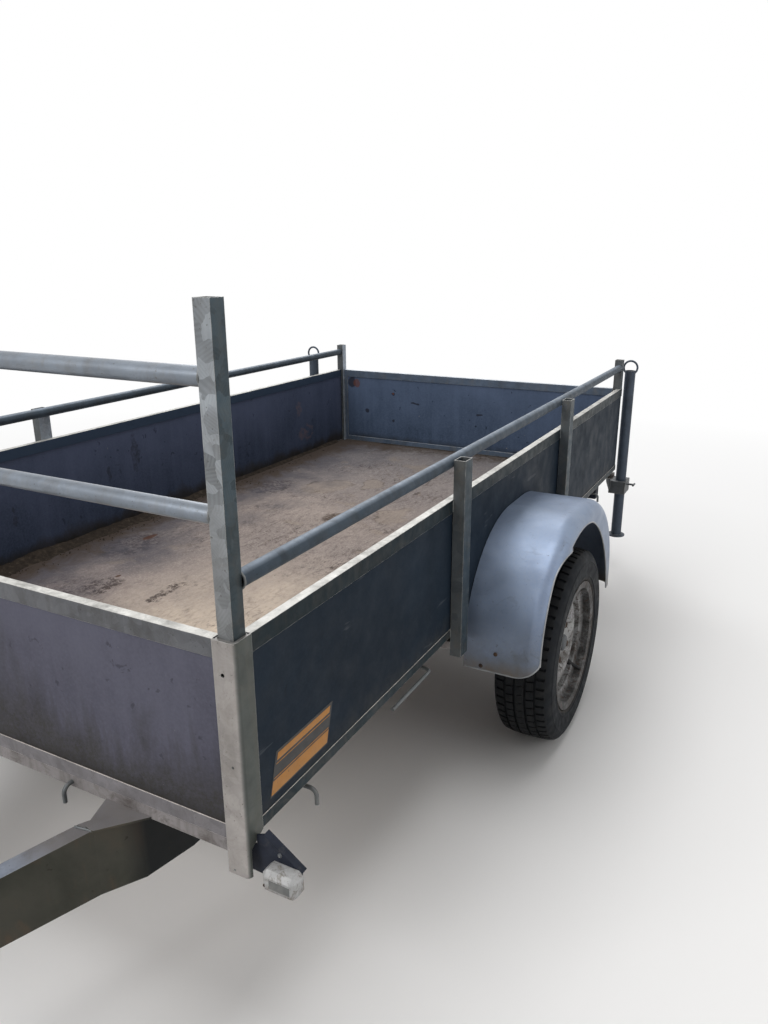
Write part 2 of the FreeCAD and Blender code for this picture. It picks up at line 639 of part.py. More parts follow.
LEG_PLAN = (
    # outer face of the leg from the middle, place along the trailer
    ("leg_tip_out", f"-{LEG_TIP}"),
    ("leg_bend_out", "-leg_bend"),
    ("leg_beam_out", "sheet_thick"),
    ("leg_under_out", "leg_under"),
    ("leg_end_out", LEG_END),
)
LEG_SIDE = (
    # place along the trailer, depth of the leg there
    (f"-{LEG_TIP}", "leg_tip_tall"),
    ("-leg_bend", "leg_tall"),
    ("leg_under", "leg_tall"),
    (LEG_END, "leg_end_tall"),
)


def leg_solid(outside, inside, top_drop, foot_lift):
    """One leg's plan strip met with its side view; the drops thin it to a void."""
    plan = [(f"{out} - ({outside})", along(place_y)) for out, place_y in LEG_PLAN]
    plan += [(f"{out} - ({inside})", along(place_y)) for out, place_y in reversed(LEG_PLAN)]
    strip = prism("XY_Plane", plan, f"{BEAM_UNDER} - leg_tall - 10", f"leg_tall + 10 - ({top_drop})")
    side = [(along(place_y), f"{BEAM_UNDER} + 5") for place_y in (f"-{LEG_TIP} - 1", f"{LEG_END} + 1")]
    side += [(along(f"{place_y} {nudge}"), f"{BEAM_UNDER} - {tall} + ({foot_lift})")
             for (place_y, tall), nudge in zip(reversed(LEG_SIDE), ("+ 1", "", "", "- 1"))]
    return common(strip, prism("YZ_Plane", side, "-20", "leg_end_out + 60"))


def gusset():
    """The triangular plate on a leg that meets the front crossmember."""
    return prism("XY_Plane", (
        ("leg_bend_out + 5 - gusset_tip", along("-leg_bend - 2")),
        ("leg_bend_out + 5", along("-leg_bend - 4")),
        ("leg_beam_out + gusset_out", along("sheet_thick")),
        ("leg_beam_out - gusset_in", along("sheet_thick"))),
        BEAM_UNDER, "gusset_thick")


def drawbar():
    """Two folded legs with a plate on each, and the square tube between their tips."""
    channel = cut(leg_solid("0", "leg_flange", "0", "0"),
                  leg_solid("leg_wall", "leg_flange + 5", "leg_wall", "leg_wall"))
    leg = fuse(channel, gusset())
    node("drawbar_leg_left", leg)
    node("drawbar_leg_right", mirrored(leg))
    low = f"{BEAM_UNDER} - nose_wide"
    outer = block(("-nose_wide / 2", along(f"-{NOSE_FRONT}"), low), ("nose_wide", "nose_long", "nose_wide"))
    inner = block(("-nose_wide / 2 + nose_wall", along(f"-{NOSE_FRONT} - 1"), f"{low} + nose_wall"),
                  ("nose_wide - 2 * nose_wall", "nose_long + 2", "nose_wide - 2 * nose_wall"))
    node("nose_tube", cut(outer, inner))


LEVER_SIDE = (
    # behind the nose tube's front end, above the neck
    ("-60", "0"), ("40", "0"), ("60", "22"), ("130", "46"), ("124", "58"), ("30", "34"), ("-40", "24"),
)


def coupling():
    """Cup for the ball, a pressed neck over the nose tube, and the hand lever on top."""
    centre = ("0", along("-ball_ahead"), "ball_level")
    reach = "(ball_radius + socket_wall)"
    rim_drop = "12"
    below = block((f"-{reach} - 5", along(f"-ball_ahead - {reach} - 5"), f"ball_level - {reach} - 5"),
                  (f"2 * {reach} + 10", f"2 * {reach} + 10", f"{reach} + 5 - {rim_drop}"))
    cup = cut(ball(centre, reach), ball(centre, "ball_radius"), below)
    node("coupling_head", cup)
    side = f"({reach} - 2)"
    outer_wide = "(nose_wide / 2 + socket_wall)"
    tube_start = along(f"-{NOSE_FRONT}")
    overlap = "90"
    outer = prism("XY_Plane", (
        (f"-{side}", along("-ball_ahead")), (side, along("-ball_ahead")),
        (outer_wide, tube_start), (outer_wide, f"{tube_start} + {overlap}"),
        (f"-{outer_wide}", f"{tube_start} + {overlap}"), (f"-{outer_wide}", tube_start)),
        f"ball_level - {rim_drop}", f"{BEAM_UNDER} + socket_wall - ball_level + {rim_drop}")
    inner_side = f"({side} - socket_wall)"
    hollow = prism("XY_Plane", (
        (f"-{inner_side}", along("-ball_ahead - 1")), (inner_side, along("-ball_ahead - 1")),
        ("nose_wide / 2", tube_start), ("nose_wide / 2", f"{tube_start} + {overlap} + 1"),
        ("-nose_wide / 2", f"{tube_start} + {overlap} + 1"), ("-nose_wide / 2", tube_start)),
        f"ball_level - {rim_drop} - 1", f"{BEAM_UNDER} - ball_level + {rim_drop} + 1")
    node("coupling_neck", cut(outer, hollow, ball(centre, f"{reach} + seat_gap")))
    level = f"{BEAM_UNDER} + socket_wall"
    points = [(along(f"-{NOSE_FRONT} + {back}"), f"{level} + {rise}") for back, rise in LEVER_SIDE]
    node("coupling_lever", prism("YZ_Plane", points, "-16", "32"))


def suspension():
    """Square axle tube with trailing arms that carry the stub axles."""
    axle_y = along(AXLE_PLACE)
    axle_z = "wheel_radius + axle_rise"
    tube = cut(
        block((f"-{AXLE_REACH}", f"{axle_y} - axle_wide / 2", f"{axle_z} - axle_wide / 2"),
              (f"2 * {AXLE_REACH}", "axle_wide", "axle_wide")),
        block((f"-{AXLE_REACH} - 1", f"{axle_y} - axle_wide / 2 + axle_wall",
               f"{axle_z} - axle_wide / 2 + axle_wall"),
              (f"2 * {AXLE_REACH} + 2", "axle_wide - 2 * axle_wall", "axle_wide - 2 * axle_wall")))
    low = f"({axle_z} + axle_wide / 2)"
    slope = f"((leg_tall - leg_end_tall) / ({LEG_END} + 1 - leg_under))"
    start = f"({AXLE_PLACE} - bracket_half)"
    end_level = f"({BEAM_UNDER} - leg_end_tall - seat_gap - {slope})"
    bracket = prism("YZ_Plane", (
        (along(start), low), (along(LEG_END), low), (along(LEG_END), end_level),
        (along(start), f"{end_level} - ({LEG_END} - {start}) * {slope}")),
        "leg_end_out - leg_flange - 30", "leg_flange + 40")
    node("axle_tube", fuse(tube, bracket, mirrored(bracket)))
    boss = rod("X", (AXLE_REACH, axle_y, axle_z), "axle_wide / 2 + arm_wall", "arm_thick")
    around = "(stub_radius + eye_wall)"
    eye = rod("X", (AXLE_REACH, along("wheel_back"), "wheel_radius"), around, "arm_thick")
    web = prism("YZ_Plane", (
        (axle_y, f"{axle_z} + axle_wide / 2"), (axle_y, f"{axle_z} - axle_wide / 2"),
        (along(f"wheel_back - 0.28 * {around}"), f"wheel_radius - 0.9 * {around}"),
        (along(f"wheel_back + 0.28 * {around}"), f"wheel_radius + 0.92 * {around}")),
        AXLE_REACH, "arm_thick")
    stub = rod("X", (AXLE_REACH, along("wheel_back"), "wheel_radius"), "stub_radius",
               f"{WHEEL_OUT} - {AXLE_REACH}")
    arm = fuse(boss, eye, web, stub)
    node("trailing_arms", both_sides(arm))


TYRE_TALL = "(wheel_radius - rim_radius)"
TYRE_SECTION = (
    # beside the edge of the rim's flange, above the rim's outer radius
    ("-7 - seat_gap", "seat_gap - 17"), ("-7 - seat_gap", "1"), ("5", "1"),
    ("5", f"0.8 * {TYRE_TALL}"), ("-10", TYRE_TALL),
)


def wheels():
    """Tyre, pressed steel rim with its swelled disc, and hub, turned round the wheel axis."""
    middle = (WHEEL_OUT, along("wheel_back"), "wheel_radius")
    edge = "(rim_wide / 2)"
    outside = [(f"{edge} + ({beside})", f"rim_radius + ({above})") for beside, above in TYRE_SECTION]
    inside = [(f"-{edge} - ({beside})", f"rim_radius + ({above})") for beside, above in TYRE_SECTION]
    tyre = turned("XZ_Plane", outside + inside[::-1], "H_Axis", middle, name="Tyre")
    node("tyre_left", tyre)
    node("tyre_right", mirrored(tyre))
    inner_face = "(disc_face - disc_thick)"
    well = "well_radius - 4"
    swell = "disc_face + disc_swell"
    rim = turned("XZ_Plane", (
        (f"-{edge}", "rim_radius"), (f"-{edge} + 3", "rim_radius - 20"), (f"-{edge} + 36", "rim_radius - 22"),
        (f"-{edge} + 48", well), (inner_face, well), (f"{swell} - disc_thick", "hub_radius + 55"),
        (f"{swell} - disc_thick", "hub_radius + 24"), (inner_face, "hub_radius + 8"),
        (inner_face, "spigot_radius"), ("disc_face", "spigot_radius"), ("disc_face", "hub_radius + 10"),
        (swell, "hub_radius + 26"), (swell, "hub_radius + 53"), (f"{inner_face} + 9", well),
        (f"{edge} - 30", well), (f"{edge} - 22", "rim_radius - 22"), (f"{edge} - 3", "rim_radius - 20"),
        (edge, "rim_radius"), (f"{edge} - 6", "rim_radius"), (f"{edge} - 7", "rim_radius - 17"),
        (f"{edge} - 25", "rim_radius - 18"), (f"{edge} - 33", "well_radius"),
        (f"-{edge} + 50", "well_radius"), (f"-{edge} + 38", "rim_radius - 18"),
        (f"-{edge} + 7", "rim_radius - 17"), (f"-{edge} + 6", "rim_radius")),
        "H_Axis", middle, name="Rim")
    drum_start = f"({AXLE_REACH} + arm_thick + 4 - {WHEEL_OUT})"
    hub = turned("XZ_Plane", (
        (drum_start, "stub_radius + stub_play"), (drum_start, "drum_radius"),
        (f"{drum_start} + drum_long", "drum_radius"), (f"{drum_start} + drum_long", "hub_radius - 10"),
        (f"{inner_face} - 6", "hub_radius - 10"), (f"{inner_face} - 6", "hub_radius"),
        (inner_face, "hub_radius"), (inner_face, "spigot_radius - seat_gap"),
        ("disc_face + 4", "spigot_radius - 4"), ("disc_face + 4", "0"),
        ("4", "0"), ("4", "stub_radius + stub_play")),
        "H_Axis", middle, name="Hub")
    node("rim_left", rim)
    node("rim_right", mirrored(rim))
    node("hub_left", hub)
    node("hub_right", mirrored(hub))


SKIRT = (
    # behind the fender's middle, below its top, level of the next edge's arc centre below its top
    ("fender_lip - fender_half", "fender_top - fender_hem + 5", None),
    ("fender_lip - fender_half", "fender_bow", "fender_bow"),
    ("fender_bow - fender_half - 0.743 * (fender_bow - fender_lip)",
     "fender_bow - 0.669 * (fender_bow - fender_lip)", "192.6"),
    ("171 - fender_half", "67", None),
    ("209 - fender_half", "68", None),
    ("205 - fender_half", "54", "373"),
    ("60", "52", "430.4"),
    ("302", "fender_top - fender_hem", None),
    ("302", "fender_top - fender_hem + 5", None),
)


def fenders():
    """Rounded sheet fenders: a bow with flat top, a rounded shoulder and a skirt round the wheel."""
    flat = "(fender_half - fender_bow)"
    spring = "(fender_top - fender_bow)"

    def bow_outline(trim, drop):
        front = along(f"{FENDER_MID} - fender_half + ({trim})")
        rear = along(f"{FENDER_MID} + fender_half - ({trim})")
        return ((front, f"fender_hem - ({drop})"), (front, spring),
                (along(f"{FENDER_MID} - {flat}"), f"fender_top - ({trim})"),
                (along(f"{FENDER_MID} + {flat}"), f"fender_top - ({trim})"),
                (rear, spring), (rear, f"fender_hem - ({drop})"))

    arcs = {1: ("y", spring), 3: ("y", spring)}
    outer = prism("YZ_Plane", bow_outline("0", "0"), HALF, "fender_wide", arcs)
    inner = prism("YZ_Plane", bow_outline("fender_thick", "5"), f"{HALF} - 5",
                  "fender_wide + 5 - fender_thick", arcs)
    doc.recompute()
    shell = cut(rounded(outer, FENDER_OUTER, "fender_round"),
                rounded(inner, f"{FENDER_OUTER} - fender_thick", "fender_round - fender_thick"))
    outline_points = [(along(f"{FENDER_MID} + ({back})"), f"fender_top - ({drop})")
                      for back, drop, _ in SKIRT]
    centres = {i: ("y", f"fender_top - ({drop})") for i, (_, _, drop) in enumerate(SKIRT) if drop}
    opening = prism("YZ_Plane", outline_points, f"{FENDER_OUTER} - fender_round - 2", "fender_round + 10",
                    centres)
    curve = f"({FENDER_OUTER} - fender_corner)"
    corner = prism("XZ_Plane", (
        (curve, "fender_hem"), (FENDER_OUTER, "fender_hem + fender_corner"),
        (f"{FENDER_OUTER} + 5", "fender_hem + fender_corner"), (f"{FENDER_OUTER} + 5", "fender_hem - 5"),
        (curve, "fender_hem - 5")),
        along(f"{FENDER_MID} - fender_half - 5"), "fender_corner", arcs={0: ("x", curve)})
    fender = cut(shell, opening, corner)
    node("fender_left", fender)
    node("fender_right", mirrored(fender))


def rounded(body, plane_x, radius):
    """Fillet the outer edge of a bow, found by its plane, all but its lowest edge."""
    item = doc.addObject("Part::Fillet", "Rounded")
    item.Base = body
    edges = []
    level = number(plane_x)
    lowest = body.Shape.BoundBox.ZMin
    for index, edge in enumerate(body.Shape.Edges, start=1):
        box = edge.BoundBox
        in_plane = abs(box.XMin - level) < 1e-3 and abs(box.XMax - level) < 1e-3
        if in_plane and box.ZMax > lowest + 1:
            edges.append((index, number(radius), number(radius)))
    item.Edges = edges
    return item


def prop_stands():
    """Prop stands: the left one behind its corner, the right one beside the box and set higher."""
    node("prop_stand_left", stand(STAND_OUT, STAND_PLACE, "0"))
    node("prop_stand_right", mirrored(stand(ODD_OUT, ODD_PLACE, "odd_rise")))
    near = f"{REAR} + clamp_near + clamp_web"
    hanger = prism("YZ_Plane", (
        (along(f"{REAR} - beam_long"), f"{BEAM_UNDER} - 2 * clamp_web"), (along(near), "clamp_low + 8"),
        (along(near), "clamp_low + clamp_tall"), (along(f"{REAR} - sheet_thick"), BEAM_UNDER),
        (along(f"{REAR} - beam_long"), BEAM_UNDER)),
        CLAMP_INNER, "clamp_web")
    inner = f"({ODD_OUT} - clamp_grip)"
    beam = f"{HALF} - rail_beam_inset - rail_beam_wide + 2"
    front = along(f"{ODD_PLACE} - 30")
    flange = block((beam, front, f"{BEAM_UNDER} - clamp_web"),
                   (f"{inner} + clamp_web - ({beam})", "60", "clamp_web"))
    web = block((inner, front, "clamp_low + clamp_tall - 10"),
                ("clamp_web", "60", f"{BEAM_UNDER} - clamp_low - clamp_tall + 10"))
    node("prop_clamps", group(fuse(clamp(STAND_OUT, STAND_PLACE), hanger),
                              mirrored(fuse(clamp(ODD_OUT, ODD_PLACE), flange, web))))


def stand(out, back, lift):
    """A tube that is open at the top, with its foot disc and its ring handle."""
    axis = (out, along(back))
    foot = f"stand_foot + {lift}"
    length = "stand_top - stand_foot - foot_thick"
    outer = rod("Z", (*axis, f"{foot} + foot_thick"), "stand_radius", length)
    inner = rod("Z", (*axis, f"{foot} + foot_thick"), "stand_bore", f"{length} + 1")
    disc = rod("Z", (*axis, foot), "foot_radius", "foot_thick")
    handle = ring("Y", (*axis, f"stand_top + ring_rise + {lift}"), "stand_ring", "stand_rod")
    return fuse(cut(outer, inner), disc, handle)


def clamp(out, back):
    """The box that grips a stand's tube, with its screw and crossbar."""
    inner = f"({out} - clamp_grip)"
    outer = block((inner, along(f"{back} - clamp_ahead"), "clamp_low"),
                  ("clamp_wide", "clamp_back - clamp_near", "clamp_tall"))
    bore = rod("Z", (out, along(back), "clamp_low - 1"), "stand_radius + clamp_play", "clamp_tall + 2")
    level = "(clamp_low + clamp_tall - 13)"
    face = f"{inner} + clamp_wide"
    screw = rod("X", (f"{face} - 1", along(f"{back} - 8"), level), "clamp_rod", "34")
    crossbar = rod("Y", (f"{face} + 30", along(f"{back} - 24"), level), "clamp_rod", "32")
    return fuse(cut(outer, bore), screw, crossbar)


def jockey():
    """Jockey wheel: clamped outer tube, telescoping inner tube, castor fork and wheel."""
    axis = ("0", along(f"-{JOCKEY_AHEAD}"))
    outer = rod("Z", (*axis, "jockey_low"), "jockey_radius", "jockey_top - jockey_low")
    inner = rod("Z", (*axis, "jockey_low - 1"), "jockey_bore", "jockey_top - jockey_low - 9")
    node("jockey_outer_tube", cut(outer, inner))
    mast = rod("Z", (*axis, "castor_top + swivel_gap"), "jockey_inner",
               "jockey_inner_top - castor_top - swivel_gap")
    kingpin = rod("Z", (*axis, "castor_top - 13"), "8", "20")
    head = rod("Z", (*axis, "castor_top - 13"), "14", "7 - swivel_gap")
    node("jockey_inner_tube", fuse(mast, kingpin, head))
    spread = f"(leg_bend_out - leg_tip_out) / ({LEG_TIP} - leg_bend)"
    span = f"(leg_tip_out + jockey_behind * {spread} - leg_flange / 2)"
    plate = block((f"-{span}", along(f"-{JOCKEY_AHEAD} - 35"), BEAM_UNDER), (f"2 * {span}", "70", "6"))
    collar = rod("Z", (*axis, BEAM_UNDER), "jockey_radius + 7", "60")
    hole = rod("Z", (*axis, f"{BEAM_UNDER} - 9"), "jockey_radius", "90")
    screw = rod("X", ("jockey_radius + 4", along(f"-{JOCKEY_AHEAD}"), f"{BEAM_UNDER} + 38"), "6", "46")
    knob = rod("Y", ("jockey_radius + 50", along(f"-{JOCKEY_AHEAD} - 32"), f"{BEAM_UNDER} + 38"), "5", "64")
    node("jockey_clamp", cut(fuse(plate, collar, screw, knob), hole))
    head = rod("Z", (*axis, "jockey_top"), "jockey_radius + 3", "14")
    arm = block(("-6", along(f"-{JOCKEY_AHEAD}"), "jockey_top + 14"), ("12", "120", "7"))
    grip = rod("Z", ("0", along(f"-{JOCKEY_AHEAD} + 110"), "jockey_top + 21"), "11", "90")
    node("jockey_crank", fuse(head, arm, grip))
    wheel_axis = (along(f"-{JOCKEY_AHEAD} + castor_trail"), "castor_radius")
    crown = block(("-castor_wide / 2 - 11", along(f"-{JOCKEY_AHEAD} - 30"), "castor_top - 6"),
                  ("castor_wide + 22", "castor_trail + 50", "6"))
    cheeks = []
    for start in ("-castor_wide / 2 - 11", "castor_wide / 2 + 6"):
        cheeks.append(prism("YZ_Plane", (
            (along(f"-{JOCKEY_AHEAD} - 30"), "castor_top"),
            (along(f"-{JOCKEY_AHEAD} + castor_trail + 20"), "castor_top"),
            (along(f"-{JOCKEY_AHEAD} + castor_trail + 16"), "castor_radius - 14"),
            (along(f"-{JOCKEY_AHEAD} + castor_trail - 16"), "castor_radius - 14")),
            start, "5"))
    spindle = rod("X", ("-castor_wide / 2 - 14", *wheel_axis), "8", "castor_wide + 28")
    kingpin_hole = rod("Z", (*axis, "castor_top - 10"), "8.05", "20")
    node("jockey_fork", fuse(cut(crown, kingpin_hole), *cheeks, spindle))
    roll = turned("XZ_Plane", (
        ("-castor_wide / 2 - 4", "8.05"), ("-castor_wide / 2 - 4", "22"), ("-castor_wide / 2 + 10", "26"),
        ("-castor_wide / 2 + 10", "castor_radius - 32"), ("-castor_wide / 2", "castor_radius - 22"),
        ("-castor_wide / 2", "castor_radius - 8"), ("-castor_wide / 2 + 10", "castor_radius"),
        ("castor_wide / 2 - 10", "castor_radius"), ("castor_wide / 2", "castor_radius - 8"),
        ("castor_wide / 2", "castor_radius - 22"), ("castor_wide / 2 - 10", "castor_radius - 32"),
        ("castor_wide / 2 - 10", "26"), ("castor_wide / 2 + 4", "22"), ("castor_wide / 2 + 4", "8.05")),
        "H_Axis", ("0", *wheel_axis), name="JockeyRoll")
    node("jockey_wheel", roll)


def tailgate():
    """Framed panel between the rear posts, on two strap hinges."""
    half = f"({HALF} - rear_post_inset - rear_post_wide - tail_side_gap)"
    low = "(deck_level + tail_lift)"
    face = f"({REAR} - tail_inset)"
    tall = f"({TOP} - {low})"
    frame = block((f"-{half}", along(f"{face} - cap_wide"), low), (f"2 * {half}", "cap_wide", tall))
    window = block((f"-{half} + tail_stile_wide", along(f"{face} - cap_wide - 1"), f"{low} + tail_foot_tall"),
                   (f"2 * ({half} - tail_stile_wide)", "cap_wide + 2", f"{tall} - tail_foot_tall - cap_tall"))
    groove = ((f"-{half} + sheet_thick", along(f"{face} - cap_wide / 2 - ply_thick / 2"),
               f"{low} + sheet_thick"),
              (f"2 * ({half} - sheet_thick)", "ply_thick", f"{tall} - 2 * sheet_thick"))
    node("tailgate_panel", block(*groove))
    node("tailgate_edging", cut(frame, window, block(*groove)))
    axis_y = f"({REAR} + hinge_back)"
    axis_z = "(deck_level - hinge_sink)"
    straps, brackets = [], []
    for sign in ("-", ""):
        centre = f"({sign}hinge_spread)"
        plate = prism("YZ_Plane", (
            (along(face), f"{low} + strap_tall"), (along(face), f"{low} + 6"),
            (along(f"{axis_y} - 3"), f"{axis_z} + 3"), (along(axis_y), f"{axis_z} + hinge_ring"),
            (along(f"{face} + strap_thick"), f"{low} + 8"),
            (along(f"{face} + strap_thick"), f"{low} + strap_tall")),
            f"{centre} - hinge_wide / 2", "hinge_wide")
        barrel = rod("X", (f"{centre} - hinge_wide / 2", along(axis_y), axis_z), "hinge_ring", "hinge_wide")
        bore = rod("X", (f"{centre} - hinge_wide / 2 - 1", along(axis_y), axis_z), "hinge_pin + hinge_play",
                   "hinge_wide + 2")
        straps.append(cut(fuse(plate, barrel), bore))
        pin_rod = rod("X", (f"{centre} - hinge_wide / 2 - 16", along(axis_y), axis_z), "hinge_pin",
                      "hinge_wide + 32")
        ears = []
        for start in (f"{centre} - hinge_wide / 2 - hinge_side_play - 12",
                      f"{centre} + hinge_wide / 2 + hinge_side_play"):
            ears.append(prism("YZ_Plane", (
                (along(f"{REAR} - sheet_thick"), f"{UNDER} - 2"),
                (along(f"{REAR} - sheet_thick"), f"{BEAM_UNDER} + 2"),
                (along(f"{REAR} + 4"), f"{BEAM_UNDER} + 2"), (along(f"{axis_y} + 5"), f"{axis_z} - 4"),
                (along(f"{axis_y} - 5"), f"{axis_z} + 4")),
                start, "12"))
            ears.append(rod("X", (start, along(axis_y), axis_z), "hinge_ring", "12"))
        brackets.append(fuse(pin_rod, *ears))
    node("tailgate_straps", group(*straps))
    node("hinge_brackets", group(*brackets))


def lamps():
    """Front marker lamps beside the corners, rear lamps and bar below the floor."""
    inner = f"({HALF} + corner_proud)"
    end = f"({LAMP_OUT} + lamp_wide - 3)"
    top = "(lamp_low + lamp_tall)"
    behind = f"({HALF} - bracket_in)"
    plate = prism("XZ_Plane", (
        (behind, "lamp_low + 6"), (behind, "bracket_shelf"), (inner, "bracket_shelf"),
        (inner, "bracket_rise - 6"), (f"{inner} + 14", "bracket_rise"), (end, f"{top} - 5"),
        (end, "lamp_low + 8"), (f"{LAMP_OUT} + 4", "lamp_low + 4")),
        along("lamp_back"), "lamp_plate")
    lip = prism("XZ_Plane", (
        (f"{inner} + 14", "bracket_rise"), (f"{inner} + 12", "bracket_rise - lamp_plate"),
        (f"{end} - 2", f"{top} - 5 - lamp_plate"), (end, f"{top} - 5")),
        along("lamp_back"), "bracket_fold")
    node("marker_brackets", both_sides(fuse(plate, lip)))
    lamp = block((LAMP_OUT, along("lamp_back - lamp_deep"), "lamp_low"),
                 ("lamp_wide", "lamp_deep", "lamp_tall"))
    doc.recompute()
    node("marker_lamps", both_sides(bevelled(lamp, "lamp_back", "lamp_bevel")))
    bar_y = along(f"{REAR} - beam_long + 4")
    face_y = along(f"{REAR} - beam_long + 4 + lamp_bar_thick")
    reach = f"({HALF} - lamp_bar_inset)"
    bar = block((f"-{reach}", bar_y, f"{BEAM_UNDER} - lamp_bar_tall"),
                (f"2 * {reach}", "lamp_bar_thick", "lamp_bar_tall"))
    unit_start = f"{HALF} - rear_lamp_inset - rear_lamp_wide"
    unit = block((unit_start, face_y, f"{BEAM_UNDER} - 10 - rear_lamp_tall"),
                 ("rear_lamp_wide", "rear_lamp_deep", "rear_lamp_tall"))
    node("rear_lamps", both_sides(unit))
    board = block(("-board_wide / 2", face_y, f"{BEAM_UNDER} - board_low"),
                  ("board_wide", "board_thick", "board_tall"))
    node("lamp_bar", fuse(bar, board))


def bevelled(solid, back, size):
    """Chamfer all edges of a lamp but those on its back."""
    item = doc.addObject("Part::Chamfer", "Bevelled")
    item.Base = solid
    level = number(along(back))
    item.Edges = [(index, number(size), number(size)) for index, edge in enumerate(solid.Shape.Edges, start=1)
                  if edge.BoundBox.YMin < level - 1e-3]
    return item


HOOKS = (
    # behind the box front, length of the straight end and whether it runs forward
    ("hook_first", "hook_drop", False),
    (f"{STAKE_ONE} - hook_ahead", "hook_run", True),
    (f"{STAKE_TWO} + hook_behind", "hook_run", True),
    (f"{REAR} - hook_last", "hook_drop", False),
)


def bent_rod(reach, end, forward):
    """A rod along +X from the origin that turns down, or forward, into a straight end."""
    bow = "hook_bow"
    root = rod("X", ("0", "0", "0"), "hook_rod", f"{reach} - hook_rod - {bow}")
    bend = ring("Z", (f"{reach} - hook_rod - {bow}", f"-{bow}", "0"), bow, "hook_rod", sweep=90)
    tip = rod("Y", (f"{reach} - hook_rod", f"-{bow} - {end}", "0"), "hook_rod", end)
    piece = fuse(root, bend, tip)
    return piece if forward else turned_over(piece, (1, 0, 0), 90)


def turned_over(item, axis, angle):
    """The same piece turned about the origin."""
    holder = group(item)
    return place(holder, (), axis, angle)


def hooks():
    """Rope hooks: bent rods out of the side beams and the front crossmember."""
    made = []
    level = f"({UNDER} - beam_tall / 2)"
    for back, end, forward in HOOKS:
        hook = group(bent_rod("hook_reach", end, forward))
        made.append(place(hook, (f"{HALF} - rail_beam_inset", along(back), level)))
    front = group(turned_over(bent_rod("front_hook_reach", "hook_drop", False), (0, 0, 1), -90))
    made.append(place(front, ("front_hook_out", along("sheet_thick"), level)))
    node("rope_hooks", both_sides(group(*made)))


def write_nodes():
    doc.recompute()
    for item in doc.Objects:
        bad = [word for word in item.State if word in ("Invalid", "Error")]
        if bad:
            raise RuntimeError(f"{item.Name} ({item.Label}) is {bad}")
    os.makedirs("parts", exist_ok=True)
    for name, item in NODES.items():
        shape = item.Shape
        if shape.isNull() or not shape.isValid() or not shape.Solids:
            raise RuntimeError(f"{name} has no valid solid")
        shape.exportStep(f"parts/{name}.step")


def main():
    floor()
    sides()
    edging()
    corners()
    uprights()
    rails()
    chassis()
    drawbar()
    coupling()
    suspension()
    wheels()
    fenders()
    prop_stands()
    jockey()
    tailgate()
    lamps()
    hooks()
    write_nodes()


main()
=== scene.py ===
import math
import random

import bmesh
import bpy
from mathutils import Matrix, Vector


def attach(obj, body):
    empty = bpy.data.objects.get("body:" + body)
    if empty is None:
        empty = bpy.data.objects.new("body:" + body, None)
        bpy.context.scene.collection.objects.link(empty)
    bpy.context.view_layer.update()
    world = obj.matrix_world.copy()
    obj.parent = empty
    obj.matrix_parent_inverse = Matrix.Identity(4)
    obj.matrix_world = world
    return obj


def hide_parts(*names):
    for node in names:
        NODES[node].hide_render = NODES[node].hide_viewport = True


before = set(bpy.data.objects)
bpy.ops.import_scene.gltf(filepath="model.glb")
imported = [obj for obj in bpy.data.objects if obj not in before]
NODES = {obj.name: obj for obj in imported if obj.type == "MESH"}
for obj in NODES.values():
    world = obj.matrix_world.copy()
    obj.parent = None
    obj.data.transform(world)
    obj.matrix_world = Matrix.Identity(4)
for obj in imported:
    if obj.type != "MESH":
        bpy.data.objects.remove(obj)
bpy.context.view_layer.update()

# The frame is in metres: +Z up, -Y the towing end, +X the trailer's left.
# Places of pieces are in millimetres, with Y behind the front face of the box.
BOX_FRONT = -0.5919
TOP = 800
DECK = 460
HALF = 665
BOX_LONG = 2510
WHEEL_OUT = 781
WHEEL_BACK = 1240
WHEEL_RADIUS = 273
JOCKEY_AXLE = -945


def at(x, y, z):
    """A place of the trailer as a point of the frame."""
    return Vector((x / 1000, y / 1000 + BOX_FRONT, z / 1000))


def colour(red, green, blue):
    """Linear colour from the 0 to 255 values that a picture shows."""
    parts = []
    for value in (red, green, blue):
        value /= 255
        parts.append(value / 12.92 if value <= 0.04045 else ((value + 0.055) / 1.055) ** 2.4)
    return (*parts, 1)


def linear(shade):
    """What a colour socket takes, from a grey level or from three values of 0 to 255."""
    if isinstance(shade, (int, float)):
        return (shade, shade, shade, 1)
    return colour(*shade) if isinstance(shade, tuple) and len(shade) == 3 else shade


def toned(shade, factor):
    return (*(part * factor for part in linear(shade)[:3]), 1)


def put(tree, socket, value):
    if isinstance(value, bpy.types.NodeSocket):
        tree.links.new(value, socket)
    elif value is not None:
        socket.default_value = value


def add(tree, kind, **values):
    """A new shader node of a kind, with its inputs set by name."""
    node = tree.nodes.new("ShaderNode" + kind)
    for name, value in values.items():
        put(tree, node.inputs[name.replace("_", " ")], value)
    return node


MATERIALS = {}


